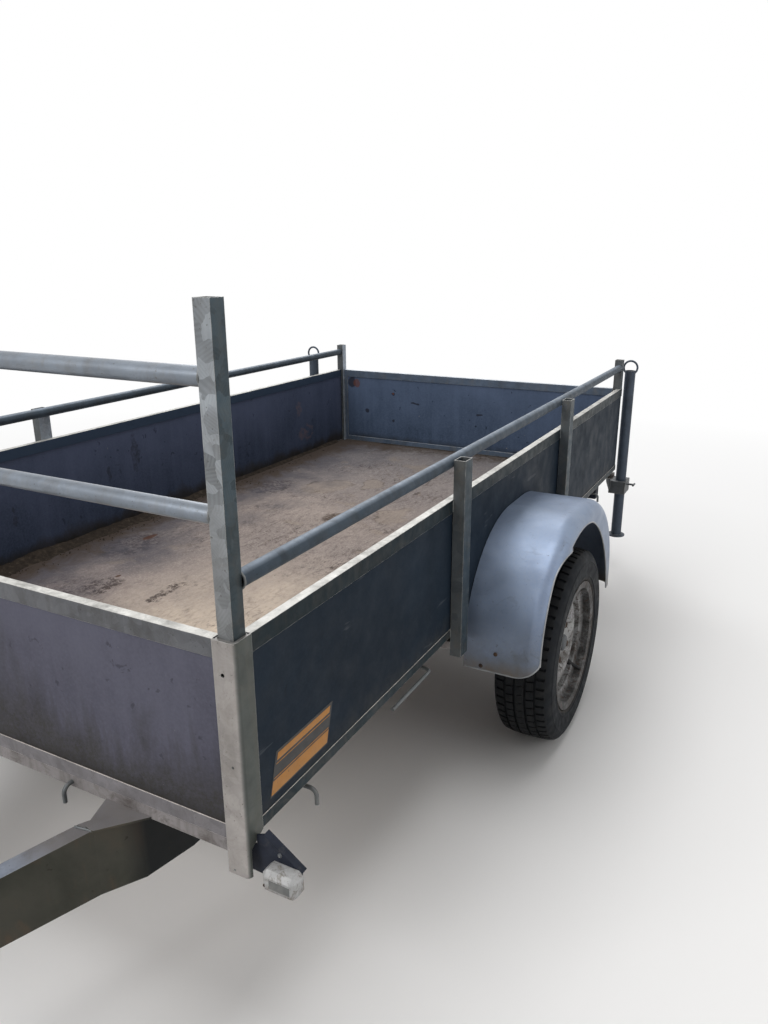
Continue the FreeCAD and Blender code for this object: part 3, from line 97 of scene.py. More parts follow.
class Look:
    """A material on one principled shader, whose colour is built up coat by coat."""

    def __init__(self, name, base=None, **sockets):
        self.material = bpy.data.materials.new(name)
        MATERIALS[name] = self.material
        self.material.use_nodes = True
        self.tree = self.material.node_tree
        self.tree.nodes.clear()
        self.shader = self.node("BsdfPrincipled", **sockets)
        self.output = self.node("OutputMaterial", Surface=self.shader.outputs[0])
        self.place = self.node("TexCoord").outputs["Object"]
        self.base = linear(base)

    def put(self, socket, value):
        put(self.tree, socket, value)

    def node(self, kind, **values):
        return add(self.tree, kind, **values)

    def set(self, socket, value):
        self.put(self.shader.inputs[socket], value)

    def show(self):
        """Give the shader the colour that has been built up."""
        self.set("Base Color", self.base)
        return self

    def stretched(self, x=1, y=1, z=1):
        return self.node("Mapping", Vector=self.place, Scale=(x, y, z)).outputs[0]

    def vector(self, kind, one, two=None, output=0):
        node = self.node("VectorMath")
        node.operation = kind
        self.put(node.inputs[0], one)
        self.put(node.inputs[1], two)
        return node.outputs[output]

    def warped(self, amount, scale):
        """Coordinates pushed about by a noise, for ragged outlines."""
        noise = self.node("TexNoise", Vector=self.place, Scale=scale, Detail=3).outputs["Color"]
        push = self.vector("SUBTRACT", noise, (0.5, 0.5, 0.5))
        return self.vector("ADD", self.place, self.vector("MULTIPLY", push, (amount, amount, amount)))

    def marks(self, places, ragged=0.03, scale=22):
        """1 inside the given places, each a centre and its reach along x, y and z in millimetres."""
        where = self.warped(ragged, scale)
        total = 0.0
        for centre, reach in places:
            away = self.vector("SUBTRACT", where, tuple(at(*centre)))
            away = self.vector("DIVIDE", away, tuple(part / 1000 for part in reach))
            inside = self.span(self.vector("LENGTH", away, output="Value"), 1.0, 0.8)
            total = self.maths("MAXIMUM", total, inside)
        return total

    def noise(self, scale, detail=4, rough=0.55, twist=0, where=None):
        node = self.node("TexNoise", Vector=where or self.place, Scale=scale, Detail=detail, Roughness=rough,
                         Distortion=twist)
        return node.outputs["Fac"]

    def ramp(self, value, *stops):
        """A value read between stops, each a position with a grey level or a colour."""
        node = self.node("ValToRGB", Fac=value)
        elements = node.color_ramp.elements
        while len(elements) < len(stops):
            elements.new(0.5)
        for element, (position, shade) in zip(elements, stops):
            element.position = position
            element.color = linear(shade)
        return node.outputs[0]

    def shows(self, first, last, *noise, **where):
        """A noise between two stops."""
        return self.ramp(self.noise(*noise, **where), first, last)

    def mix(self, amount, one, two, mode="MIX"):
        node = self.node("Mix")
        node.data_type = "RGBA"
        node.blend_type = mode
        self.put(node.inputs["Factor"], amount)
        self.put(node.inputs[6], linear(one))
        self.put(node.inputs[7], linear(two))
        return node.outputs[2]

    def tinted(self, one, two):
        return self.mix(1.0, one, two, "MULTIPLY")

    def coat(self, shade, *amounts):
        """Lay a shade over what shows so far, by the product of the amounts."""
        self.base = self.mix(self.times(*amounts), self.base, shade)
        return self

    def flecks(self, shade, low, high, most, *noise, **where):
        """Lay a shade where a noise passes a level, up to a share."""
        return self.coat(shade, self.shows((low, 0.0), (high, most), *noise, **where))

    def maths(self, kind, one, two=None, clamp=False):
        node = self.node("Math")
        node.operation = kind
        node.use_clamp = clamp
        self.put(node.inputs[0], one)
        self.put(node.inputs[1], two)
        return node.outputs[0]

    def times(self, first, *others):
        for other in others:
            first = self.maths("MULTIPLY", first, other, True)
        return first

    def plus(self, one, two, share):
        """A value and a share of another."""
        return self.maths("ADD", one, self.maths("MULTIPLY", two, share))

    def parts(self, vector):
        return self.node("SeparateXYZ", Vector=vector).outputs

    def axis(self, name):
        return self.parts(self.place)[name]

    def facing(self, name):
        """How far the surface looks along an axis of the object."""
        return self.parts(self.node("TexCoord").outputs["Normal"])[name]

    def outward(self):
        """How far the surface looks away from the trailer's middle plane."""
        return self.maths("MULTIPLY", self.facing("X"), self.maths("SIGN", self.axis("X")))

    def beside(self):
        return self.maths("ABSOLUTE", self.axis("X"))

    def from_axle(self, back, level):
        """Distance from an axle along X, in metres."""
        centre = at(0, back, level)
        flat = self.vector("MULTIPLY", self.place, (0, 1, 1))
        return self.vector("DISTANCE", flat, (0, centre.y, centre.z), "Value")

    def span(self, value, low, high, first=0.0, last=1.0):
        return self.node("MapRange", Value=value, From_Min=low, From_Max=high, To_Min=first,
                         To_Max=last).outputs[0]

    def along(self, name, low, high):
        """From 0 to 1 between two places along an axis, in metres."""
        return self.span(self.axis(name), low, high)

    def behind(self, low, high):
        """From 0 to 1 between two places behind the box front, in millimetres."""
        return self.along("Y", BOX_FRONT + low / 1000, BOX_FRONT + high / 1000)

    def rounded(self, radius):
        """The surface's normal with its edges rounded off."""
        node = self.node("Bevel", Radius=radius)
        node.samples = 4
        return node.outputs[0]

    def edge(self, soft):
        """Where the rounded normal turns away from the flat one."""
        flat = self.node("NewGeometry").outputs["Normal"]
        return self.span(self.vector("DOT_PRODUCT", soft, flat, "Value"), 0.995, 0.9)

    def rough(self, first, last, *noise):
        self.set("Roughness", self.shows(first, last, *noise))
        return self

    def bump(self, height, strength=0.3, depth=0.001, soft=None):
        node = self.node("Bump", Height=height, Strength=strength, Distance=depth, Normal=soft)
        self.set("Normal", node.outputs[0])
        return self


def on_floor(*spots):
    """Marks on the floor, from rows of place and reach along x and y."""
    return [((x, y, DECK), (wide, deep, 50)) for x, y, wide, deep in spots]


def on_wall(*spots):
    """Marks on the right wall's inside, from rows of place and reach along y and z."""
    return [((-651, y, z), (12, wide, tall)) for y, z, wide, tall in spots]


def on_tailgate(*spots):
    """Marks on the tailgate's inside, from rows of place and reach along x and z."""
    return [((x, 2489, z), (wide, 12, tall)) for x, z, wide, tall in spots]


CRYSTAL_RIDGES = 2600
# Pale edge tone: partly wear, partly a painted highlight.
EDGE_WEAR_AND_HIGHLIGHT = (196, 196, 192)


def galvanised(name, tone, front=None, side=None, top=None, inner=None, grime=(104, 97, 86), stains=0.4,
               spangle=0.35, metal=0.3, rough=0.46, patch=50, shine=0.5):
    """Hot-dip zinc: crystal patches, dull clouds and run-down grime, with painted light and shade on its
    front, side, top and inner faces.
    """
    look = Look(name, tone, Metallic=metal, Specular_IOR_Level=shine)
    # Painted light and shade: front, side, top and inner faces each take the tone they show as lit or shaded.
    if front:
        look.coat(front, look.span(look.facing("Y"), -0.5, -0.95), 0.85)
    if side:
        look.coat(side, look.span(look.maths("ABSOLUTE", look.facing("X")), 0.5, 0.95), 0.95)
    if top:
        look.coat(top, look.span(look.facing("Z"), 0.6, 0.95), 0.85)
    if inner:
        look.coat(inner, look.span(look.outward(), -0.5, -0.9), 0.9)
    cell = look.node("TexVoronoi", Vector=look.warped(0.03, 26), Scale=patch).outputs["Color"]
    leaning = look.vector("SUBTRACT", cell, (0.5, 0.5, 0.5))
    across = look.vector("DOT_PRODUCT", look.place, leaning, "Value")
    ridges = look.maths("SINE", look.maths("MULTIPLY", across, CRYSTAL_RIDGES))
    shades = look.ramp(cell, (0.32, 0.52), (0.5, 0.78), (0.66, 1.0))
    feathers = look.mix(0.12, shades, look.span(ridges, -1, 1))
    bright = look.tinted(look.base, (1.24, 1.24, 1.24, 1))
    look.coat(look.tinted(bright, feathers), look.shows((0.36, 0.3 * spangle), (0.62, spangle), 8, 3))
    cloud = look.shows((0.32, 0.72), (0.68, 1.12), 9, 7, 0.62, 0.4)
    look.coat(look.tinted(look.base, cloud), 0.8)
    look.flecks(grime, 0.5, 0.7, stains, 28, 8, 0.7, 0.6)
    look.flecks(grime, 0.48, 0.74, stains, 34, 6, 0.6, where=look.stretched(z=0.1))
    look.flecks(toned(grime, 0.5), 0.66, 0.72, 0.6, 190, 3, 0.6)
    soft = look.rounded(0.0016)
    # Pale rounded edges: partly wear, partly a painted highlight.
    look.coat(EDGE_WEAR_AND_HIGHLIGHT, look.edge(soft), look.shows((0.36, 0.1), (0.6, 0.7), 60))
    look.rough((0.3, rough - 0.08), (0.7, rough + 0.14), 42, 5)
    return look.bump(look.noise(85, 6, 0.6), 0.22, 0.0007, soft).show()


def cap_zinc():
    """Edge profiles: a painted highlight on top, painted shade down the sides, blue-grey painted shade
    inside, painted warm light on the sills' outer and front faces and darker sills elsewhere.
    """
    look = galvanised("cap_zinc", (84, 94, 108), (112, 112, 114), (26, 37, 41), (222, 220, 214),
                      grime=(72, 70, 66), shine=0.1)
    outside = look.maths("MAXIMUM", look.span(look.beside(), 0.6635, 0.6645), look.behind(2, 0.5))
    low = look.along("Z", 0.6, 0.5)
    # Painted warm light on the outer and front faces of the sills.
    look.coat(look.tinted(look.base, (1.75, 1.62, 1.58, 1)), low, outside, 0.9)
    look.coat((58, 54, 50), low, look.maths("SUBTRACT", 1, outside), 0.9)
    # Painted blue-grey shade on the inward faces of the caps.
    inward = look.times(look.span(look.outward(), -0.5, -0.9), look.along("Z", 0.6, 0.7), 0.85)
    return look.coat((58, 72, 92), inward).show()


def post_zinc():
    """Headboard posts: large feathered crystals, bluish and pale above, warmer and duller below, with painted
    light on the front and top and painted shade on the sides.
    """
    look = galvanised("post_zinc", (128, 134, 138), (150, 155, 160), (60, 74, 82), (216, 216, 214),
                      spangle=1.0, stains=0.2, patch=44, shine=0.2)
    low = look.times(look.along("Z", 1.12, 0.84), 0.5)
    return look.coat(look.tinted(look.base, (206, 196, 184)), low).show()


def leg_zinc():
    """Drawbar legs: bluish and bright on the flange, olive on the web, and a painted shadow darkening the web
    under the box.
    """
    look = galvanised("leg_zinc", (138, 146, 160), grime=(96, 90, 78), spangle=0.25, metal=0.35, rough=0.42,
                      shine=0.1)
    plate = look.times(look.behind(-200, -120), 0.8)
    flange = look.mix(plate, look.base, (132, 126, 122))
    look.base = look.ramp(look.noise(6, 7, 0.6, 0.5), (0.32, (56, 57, 50)), (0.52, (72, 71, 64)),
                          (0.72, (84, 76, 66)))
    look.flecks((92, 76, 62), 0.52, 0.66, 0.6, 13, 6, 0.6, 0.8, look.stretched(z=0.3))
    # Painted shadow of the box on the web's rear end.
    look.coat((30, 32, 33), look.behind(-30, 10), 0.97)
    look.flecks((44, 40, 34), 0.66, 0.72, 0.7, 60, 4, 0.6)
    flank = look.span(look.maths("ABSOLUTE", look.facing("Z")), 0.7, 0.3)
    look.base = look.mix(flank, flange, look.base)
    look.set("Metallic", look.span(flank, 0, 1, 0.4, 0.05))
    return look.show()


def fender_zinc():
    """Smooth bluish zinc sheet with soft dents, brown with dirt towards its lower edge."""
    look = Look("fender_zinc", Metallic=0.5)
    look.base = look.shows((0.33, (106, 120, 144)), (0.68, (132, 147, 170)), 4.5, 6, 0.6, 0.4)
    look.flecks((142, 148, 156), 0.4, 0.75, 0.3, 150, 5, 0.7)
    look.flecks((92, 96, 102), 0.58, 0.7, 0.5, 26, 9, 0.72, 1.4)
    low = look.times(look.along("Z", 0.5, 0.345), look.shows((0.25, 0.2), (0.7, 0.9), 16, 7, 0.65))
    hem = look.times(look.along("Z", 0.385, 0.345), look.shows((0.3, 0.3), (0.6, 0.9), 30, 6))
    look.coat((84, 82, 76), low).coat((104, 96, 84), hem)
    look.flecks((66, 62, 56), 0.68, 0.73, 0.6, 95, 4, 0.6)
    return look.rough((0.3, 0.34), (0.7, 0.5), 22, 6).bump(look.noise(7, 4, 0.5), 0.3, 0.004).show()


def film_ply(name, low_shade, high_shade, moss, height, spots):
    """Film-faced plywood gone grey, with green-brown stains that rise from the sill in tongues."""
    look = Look(name, Specular_IOR_Level=0.12)
    field = look.plus(look.noise(3.4, 7, 0.62, 0.5), look.along("Z", 0.52, 0.76), 0.34)
    look.base = look.ramp(field, (0.4, low_shade), (0.9, high_shade))
    look.flecks(toned(high_shade, 1.3), 0.42, 0.75, 0.3, 30, 6, 0.6, where=look.stretched(z=0.06))
    look.flecks(toned(high_shade, 1.4), 0.4, 0.75, 0.35, 170, 6, 0.7)
    tongue = look.shows((0.36, 0.0), (0.7, 1.0), 9, 6, 0.6, 0.3, look.stretched(z=0.25))
    reach = look.plus(height * 0.4, tongue, height * 2.2)
    above = look.maths("SUBTRACT", look.axis("Z"), DECK / 1000)
    rise = look.span(look.maths("DIVIDE", above, reach), 1.0, 0.35)
    look.coat(moss, rise, look.shows((0.3, 0.3), (0.62, 1.0), 140, 8, 0.8, 0.3), 0.9)
    foot = look.times(look.span(above, 0.05, 0.012), look.shows((0.3, 0.3), (0.6, 1.0), 22, 7, 0.7))
    look.coat(toned(moss, 0.6), foot)
    look.flecks(toned(low_shade, 0.42), 0.66, 0.7, spots, 38, 4, 0.55, 0.5)
    look.flecks((142, 140, 138), 0.74, 0.77, 0.8, 75, 4, 0.5)
    look.rough((0.3, 0.5), (0.7, 0.72), 20, 6)
    return look.bump(look.noise(220, 5, 0.6), 0.2, 0.0004, look.rounded(0.001)).show()


def side_ply():
    """Side panels: dark blue-grey outside as painted shade, greyer and stained inside."""
    look = film_ply("side_ply", (48, 57, 74), (76, 84, 106), (52, 48, 44), 0.035, 0.5)
    rubbed = look.marks(on_wall((2123, 675, 30, 34), (2171, 557, 62, 44)), 0.08)
    look.coat((104, 90, 92), rubbed, look.shows((0.35, 0.05), (0.6, 0.65), 60, 6, 0.7))
    run = look.marks(on_wall((1132, 690, 20, 80), (1010, 640, 10, 34), (640, 600, 12, 40)), 0.05)
    look.coat((40, 40, 46), run, look.shows((0.38, 0.1), (0.6, 0.6), 70, 6, 0.7))
    inside = look.base
    # The outside: a darker blue-grey copy of the panel, as painted shade.
    look.base = look.shows((0.3, (16, 26, 36)), (0.72, (26, 38, 50)), 4, 7, 0.6, 0.4)
    look.flecks((44, 54, 66), 0.42, 0.75, 0.3, 150, 6, 0.7)
    dust = look.times(look.along("Z", 0.53, 0.475), look.shows((0.35, 0.0), (0.7, 0.5), 24, 7, 0.7))
    look.coat((66, 64, 60), dust)
    look.flecks((84, 88, 94), 0.7, 0.73, 0.4, 50, 3, 0.5, 0.2, look.stretched(y=0.12))
    look.flecks((20, 24, 30), 0.68, 0.72, 0.5, 17, 5, 0.6, 0.7)
    look.base = look.mix(look.span(look.outward(), 0.4, 0.6), inside, look.base)
    return look.show()


def tail_ply():
    """Tailgate panel with a rusty stain in its right corner and a few dark knocks."""
    look = film_ply("tail_ply", (56, 69, 88), (84, 98, 122), (50, 50, 50), 0.025, 0.9)
    knocks = on_tailgate((-591, 744, 26, 30), (-511, 611, 10, 12), (-371, 703, 12, 9), (-371, 576, 11, 8),
                         (-260, 668, 24, 5), (60, 640, 18, 5), (210, 590, 20, 16))
    look.coat((38, 38, 46), look.marks(knocks, 0.035), 0.8)
    rust = look.marks(on_tailgate((-564, 741, 20, 22), (-371, 705, 6, 5)), 0.012)
    return look.coat((104, 66, 54), rust, 0.7).show()


def floor_ply():
    """Weathered plywood: fine grain, a painted pool of sunlight over pale wear in front, peeled patches, damp
    dark edges and dirt.
    """
    look = Look("floor_ply", Specular_IOR_Level=0.15)
    grain = look.noise(14, 9, 0.7, 0.3, look.stretched(9, 0.9))
    look.base = look.ramp(grain, (0.3, (118, 108, 104)), (0.5, (142, 131, 126)), (0.72, (160, 149, 142)))
    look.coat(look.shows((0.38, (108, 101, 101)), (0.64, (160, 147, 138)), 2.1, 6, 0.6, 0.6), 0.55)
    look.flecks((98, 88, 84), 0.42, 0.7, 0.5, 120, 7, 0.75, 0.2, look.stretched(1.6, 0.7))
    front = look.behind(1100, 350)
    # Painted pool of warm sunlight over wear at the front left.
    worn_and_sunlit = look.times(front, look.along("X", -0.35, 0.15), look.shows((0.35, 0.4), (0.6, 1.0), 4, 8, 0.7))
    look.coat((240, 220, 196), worn_and_sunlit)
    look.coat((86, 89, 96), look.behind(1500, 2450), 0.65)
    look.coat((98, 88, 93), front, look.along("X", 0.0, -0.35), 0.45)
    crack = look.shows((0.35, 1.0), (0.4, 0.0), 16, 9, 0.78, 0.25, look.stretched(13, 0.8))
    zone = look.shows((0.45, 0.0), (0.6, 1.0), 2.6, 5, 0.6)
    look.coat((58, 48, 44), crack, look.maths("ADD", zone, 0.2))
    coarse = look.shows((0.5, 0.0), (0.58, 0.55), 46, 8, 0.8, 0.5, look.stretched(1.5, 0.7))
    look.coat((84, 73, 70), coarse, look.maths("ADD", zone, 0.3))
    look.flecks((176, 168, 160), 0.52, 0.66, 0.5, 210, 5, 0.7)
    patches = on_floor((-281, 1715, 105, 130), (-135, 1853, 55, 75), (120, 1560, 60, 110),
                       (-60, 2150, 90, 60))
    peeled = look.maths("MAXIMUM", look.shows((0.59, 0.0), (0.6, 1.0), 5.2, 9, 0.72, 1.0),
                        look.marks(patches, 0.2, 7))
    rim = look.times(look.span(peeled, 0.02, 0.3), look.span(peeled, 0.98, 0.6),
                     look.shows((0.45, 0.0), (0.6, 0.65), 19, 6, 0.7))
    look.coat((136, 122, 106), peeled, 0.3).coat((70, 60, 54), rim)
    chips = look.times(look.shows((0.57, 0.0), (0.6, 0.85), 24, 9, 0.8, 0.6, look.stretched(1.3, 0.6)), zone)
    clusters = on_floor((-461, 906, 90, 120), (-309, 621, 55, 70), (-121, 672, 26, 90), (-480, 1640, 90, 120))
    broken = look.times(look.marks(clusters, 0.1, 12), look.shows((0.47, 0.0), (0.53, 0.9), 58, 8, 0.8, 0.4))
    look.coat((58, 48, 45), look.maths("MAXIMUM", chips, broken))
    crust = look.marks(on_floor((-58, 1427, 36, 56)), 0.04)
    look.coat((66, 54, 45), crust, look.shows((0.35, 0.3), (0.6, 1.0), 80, 6, 0.7))
    beside = look.span(look.beside(), HALF / 1000 - 0.2, HALF / 1000 - 0.02)
    ends = look.maths("MAXIMUM", look.behind(200, 20), look.behind(BOX_LONG - 250, BOX_LONG - 30))
    near_wall = look.maths("MAXIMUM", beside, ends)
    right = look.along("X", -0.1, -0.6)
    damp = look.ramp(look.plus(look.noise(6, 7, 0.7), right, 0.55), (0.62, 0.0), (0.98, 1.0))
    look.coat((70, 69, 76), damp, 0.8)
    field = look.plus(look.plus(look.noise(11, 8, 0.7, 0.8), right, 0.2), near_wall, 0.42)
    look.coat((70, 60, 52), look.ramp(field, (0.72, 0.0), (0.98, 0.9)))
    look.flecks((56, 46, 38), 0.67, 0.71, 0.75, 130, 4, 0.7)
    leaf = look.marks(on_floor((-472, 984, 14, 34), (-319, 696, 7, 11)), 0.012)
    look.coat((72, 46, 34), leaf, 0.85)
    look.set("Roughness", 0.84)
    height = look.maths("SUBTRACT", grain, look.maths("MULTIPLY", crack, 0.6))
    return look.bump(height, 0.5, 0.0015).show()


def tyre_rubber():
    look = Look("tyre_rubber", Specular_IOR_Level=0.12)
    look.base = look.shows((0.3, (17, 20, 24)), (0.7, (29, 32, 36)), 18, 7, 0.6)
    look.flecks((52, 50, 47), 0.52, 0.76, 0.45, 15, 8, 0.7, 0.8)
    reach = look.from_axle(WHEEL_BACK, WHEEL_RADIUS)
    tread = look.times(look.span(reach, 0.262, 0.268), look.shows((0.35, 0.1), (0.7, 0.6), 70, 6, 0.7))
    bead = look.times(look.span(reach, 0.196, 0.186), 0.5)
    look.coat((44, 43, 41), tread).coat((58, 52, 45), bead)
    return look.rough((0.3, 0.58), (0.7, 0.82), 40, 5).bump(look.noise(160, 5, 0.6), 0.22, 0.0006).show()


def rim_paint():
    """Whitish rim paint under grey-brown dirt, speckled with rust, darkest on the outer ring, where painted
    shade stands for the recess between disc and barrel.
    """
    look = Look("rim_paint", Metallic=0.1, Specular_IOR_Level=0.3)
    look.base = look.shows((0.3, (138, 139, 141)), (0.7, (180, 180, 179)), 12, 6)
    look.flecks((66, 60, 54), 0.44, 0.6, 0.85, 18, 9, 0.72, 0.9)
    outer = look.span(look.from_axle(WHEEL_BACK, WHEEL_RADIUS), 0.135, 0.16)
    # Painted shade on the outer ring, where the disc meets the barrel.
    look.coat((34, 33, 33), outer, look.shows((0.3, 0.5), (0.6, 0.95), 36, 8, 0.7))
    look.flecks((62, 45, 35), 0.53, 0.62, 0.9, 64, 8, 0.72, 0.5)
    look.flecks((33, 28, 25), 0.58, 0.64, 0.9, 120, 5, 0.7)
    look.rough((0.3, 0.5), (0.7, 0.8), 50, 5)
    return look.bump(look.noise(110, 6, 0.6), 0.35, 0.0009, look.rounded(0.0012)).show()


def rusty_iron():
    look = Look("rusty_iron", Metallic=0.2, Specular_IOR_Level=0.3, Roughness=0.8)
    look.base = look.ramp(look.noise(60, 8, 0.7), (0.3, (42, 33, 29)), (0.55, (66, 50, 41)),
                          (0.75, (92, 74, 60)))
    return look.bump(look.noise(180, 6, 0.6), 0.5, 0.0012, look.rounded(0.001)).show()


def stained_lens():
    """Cracked pale lamp body with brown stains at its low edge."""
    look = Look("stained_lens", Coat_Weight=0.1)
    look.base = look.shows((0.3, (140, 140, 140)), (0.7, (180, 180, 180)), 26, 6)
    look.flecks((108, 102, 92), 0.5, 0.62, 0.85, 70, 7, 0.75, 0.9)
    low = look.times(look.along("Z", 0.406, 0.386), look.shows((0.4, 0.0), (0.6, 0.8), 40, 5))
    look.coat((88, 72, 54), low).rough((0.3, 0.35), (0.7, 0.7), 60, 5)
    return look.bump(look.noise(140, 6, 0.7), 0.45, 0.0009, look.rounded(0.001)).show()


def dull_plastic(name="dull_plastic", low=(26, 30, 40), high=(42, 47, 60)):
    look = Look(name, Specular_IOR_Level=0.2)
    look.base = look.shows((0.3, low), (0.7, high), 40, 6)
    look.flecks((84, 82, 80), 0.55, 0.7, 0.4, 60, 8, 0.7).rough((0.3, 0.5), (0.7, 0.7), 50)
    return look.bump(look.noise(240, 4, 0.6), 0.2, 0.0004, look.rounded(0.001)).show()


def clear_plastic(name, shade):
    """Ribbed lamp lens, dusty in its corners."""
    look = Look(name, Coat_Weight=0.4, Specular_IOR_Level=0.6)
    look.base = look.shows((0.3, toned(shade, 0.8)), (0.7, shade), 20, 5)
    look.flecks((150, 138, 124), 0.52, 0.72, 0.4, 70, 8, 0.7).rough((0.3, 0.22), (0.7, 0.42), 50)
    rib = look.node("TexWave", Vector=look.place, Scale=60).outputs["Fac"]
    return look.bump(rib, 0.35, 0.001, look.rounded(0.001)).show()


def printed(name, shade):
    """Film of a sticker, scuffed."""
    look = Look(name, Coat_Weight=0.15)
    look.base = look.shows((0.3, toned(shade, 0.82)), (0.7, shade), 30, 6)
    return look.flecks((60, 52, 40), 0.6, 0.68, 0.7, 130, 8, 0.7).rough((0.3, 0.4), (0.7, 0.6), 50).show()


def road_dirt():
    look = Look("road_dirt", Specular_IOR_Level=0.1, Roughness=0.95)
    look.base = look.ramp(look.noise(60, 8, 0.7), (0.3, (38, 34, 30)), (0.55, (58, 51, 45)),
                          (0.75, (86, 77, 66)))
    look.flecks((112, 104, 94), 0.64, 0.7, 0.5, 170, 4, 0.6)
    return look.bump(look.noise(200, 7, 0.7), 0.8, 0.002).show()


def jockey_tyre():
    """Solid rubber ring on a grey steel hub."""
    look = Look("jockey_tyre", Specular_IOR_Level=0.3)
    rubber = look.shows((0.3, (32, 33, 35)), (0.7, (54, 53, 52)), 30, 7, 0.6)
    look.base = look.shows((0.35, (96, 92, 88)), (0.7, (140, 136, 130)), 40, 7, 0.7)
    look.coat(rubber, look.span(look.from_axle(JOCKEY_AXLE, 100), 0.0675, 0.0685))
    look.rough((0.5, 0.55), (0.7, 0.8), 26, 8, 0.7)
    return look.bump(look.noise(150, 5, 0.6), 0.25, 0.0006, look.rounded(0.001)).show()


# Front, side, top and inner tones are painted light and shade; the dark tones of the rails and prop stands
# are painted shade as well.
ZINC = {
    "zinc": {"tone": (112, 114, 116), "stains": 0.5},
    "tail_cap": {"tone": (84, 98, 116), "front": (86, 101, 120), "side": (60, 74, 90), "top": (196, 204, 214),
                 "stains": 0.3},
    "corner_zinc": {"tone": (142, 140, 138), "front": (176, 170, 166), "side": (70, 76, 72), "stains": 0.25},
    "stake_zinc": {"tone": (94, 97, 100), "front": (90, 95, 98), "side": (52, 65, 73), "top": (158, 158, 158),
                   "inner": (164, 174, 186), "spangle": 0.6, "shine": 0.2},
    "tube_zinc": {"tone": (126, 134, 144), "metal": 0.55, "rough": 0.36, "spangle": 0.2, "stains": 0.3},
    "rail_zinc": {"tone": (66, 76, 86), "top": (120, 130, 142), "grime": (52, 50, 46), "metal": 0.25,
                  "spangle": 0.2, "stains": 0.3, "shine": 0.1},
    "stand_zinc": {"tone": (76, 85, 97), "grime": (58, 56, 54), "metal": 0.25, "spangle": 0.2, "shine": 0.1},
    "zinc_dirty": {"tone": (112, 108, 104), "front": (156, 151, 151), "grime": (76, 68, 62), "stains": 0.8,
                   "spangle": 0.2, "rough": 0.6},
    "bright_zinc": {"tone": (150, 153, 156), "stains": 0.3, "spangle": 0.2, "metal": 0.5, "rough": 0.36},
    "dull_zinc": {"tone": (104, 108, 110), "stains": 0.3, "spangle": 0.2},
    "dark_zinc": {"tone": (84, 88, 92), "grime": (58, 53, 47), "stains": 0.6, "rough": 0.5},
}


def make_materials():
    for name, values in ZINC.items():
        galvanised(name, **values)
    for make in (cap_zinc, post_zinc, leg_zinc, fender_zinc, side_ply, tail_ply, floor_ply, tyre_rubber,
                 rim_paint, rusty_iron, stained_lens, dull_plastic, road_dirt, jockey_tyre):
        make()
    film_ply("front_ply", (72, 71, 82), (90, 90, 103), (58, 56, 51), 0.13, 0.5)
    dull_plastic("lamp_window", (92, 94, 94), (126, 126, 124))
    dull_plastic("grip_plastic", (20, 20, 22), (34, 34, 36))
    lenses = {"red_lens": (150, 22, 18), "amber_lens": (214, 112, 20), "clear_lens": (196, 194, 186)}
    for name, shade in lenses.items():
        clear_plastic(name, shade)
    printed("label_black", (28, 27, 26))
    printed("label_amber", (176, 116, 30))


FINISH = {
    "zinc": ("nose_tube", "axle_tube", "trailing_arms", "hinge_brackets", "lamp_bar", "coupling_head",
             "coupling_neck"),
    "cap_zinc": ("side_edgings", "front_edging"),
    "tail_cap": ("tailgate_edging",),
    "corner_zinc": ("corner_posts_front",),
    "post_zinc": ("headboard_posts",),
    "stake_zinc": ("stakes", "corner_posts_rear"),
    "tube_zinc": ("headboard_tubes", "jockey_outer_tube", "jockey_inner_tube"),
    "rail_zinc": ("side_rails",),
    "stand_zinc": ("prop_stand_left", "prop_stand_right"),
    "bright_zinc": ("coupling_lever", "jockey_crank", "tailgate_straps"),
    "dull_zinc": ("rope_hooks",),
    "dark_zinc": ("prop_clamps", "jockey_clamp", "jockey_fork"),
    "zinc_dirty": ("end_beams", "crossmembers", "side_beams"),
    "leg_zinc": ("drawbar_leg_left", "drawbar_leg_right"),
    "fender_zinc": ("fender_left", "fender_right"),
    "front_ply": ("front_panel",),
    "side_ply": ("side_panels",),
    "tail_ply": ("tailgate_panel",),
    "floor_ply": ("floor_board",),
    "tyre_rubber": ("tyre_left", "tyre_right"),
    "jockey_tyre": ("jockey_wheel",),
    "rim_paint": ("rim_left", "rim_right"),
    "rusty_iron": ("hub_left", "hub_right"),
    "stained_lens": ("marker_lamps",),
    "dull_plastic": ("marker_brackets", "rear_lamps"),
}


def paint(obj, name):
    obj.data.materials.clear()
    obj.data.materials.append(MATERIALS[name])


def finish_nodes():
    for name, nodes in FINISH.items():
        for node in nodes:
            paint(NODES[node], name)


def circle(middle, direction, radius, count=28):
    """Points of a circle round a direction."""
    ahead = Vector(direction).normalized()
    side = ahead.orthogonal().normalized()
    other = ahead.cross(side)
    turns = [2 * math.pi * k / count for k in range(count)]
    return [Vector(middle) + (side * math.cos(turn) + other * math.sin(turn)) * radius for turn in turns]


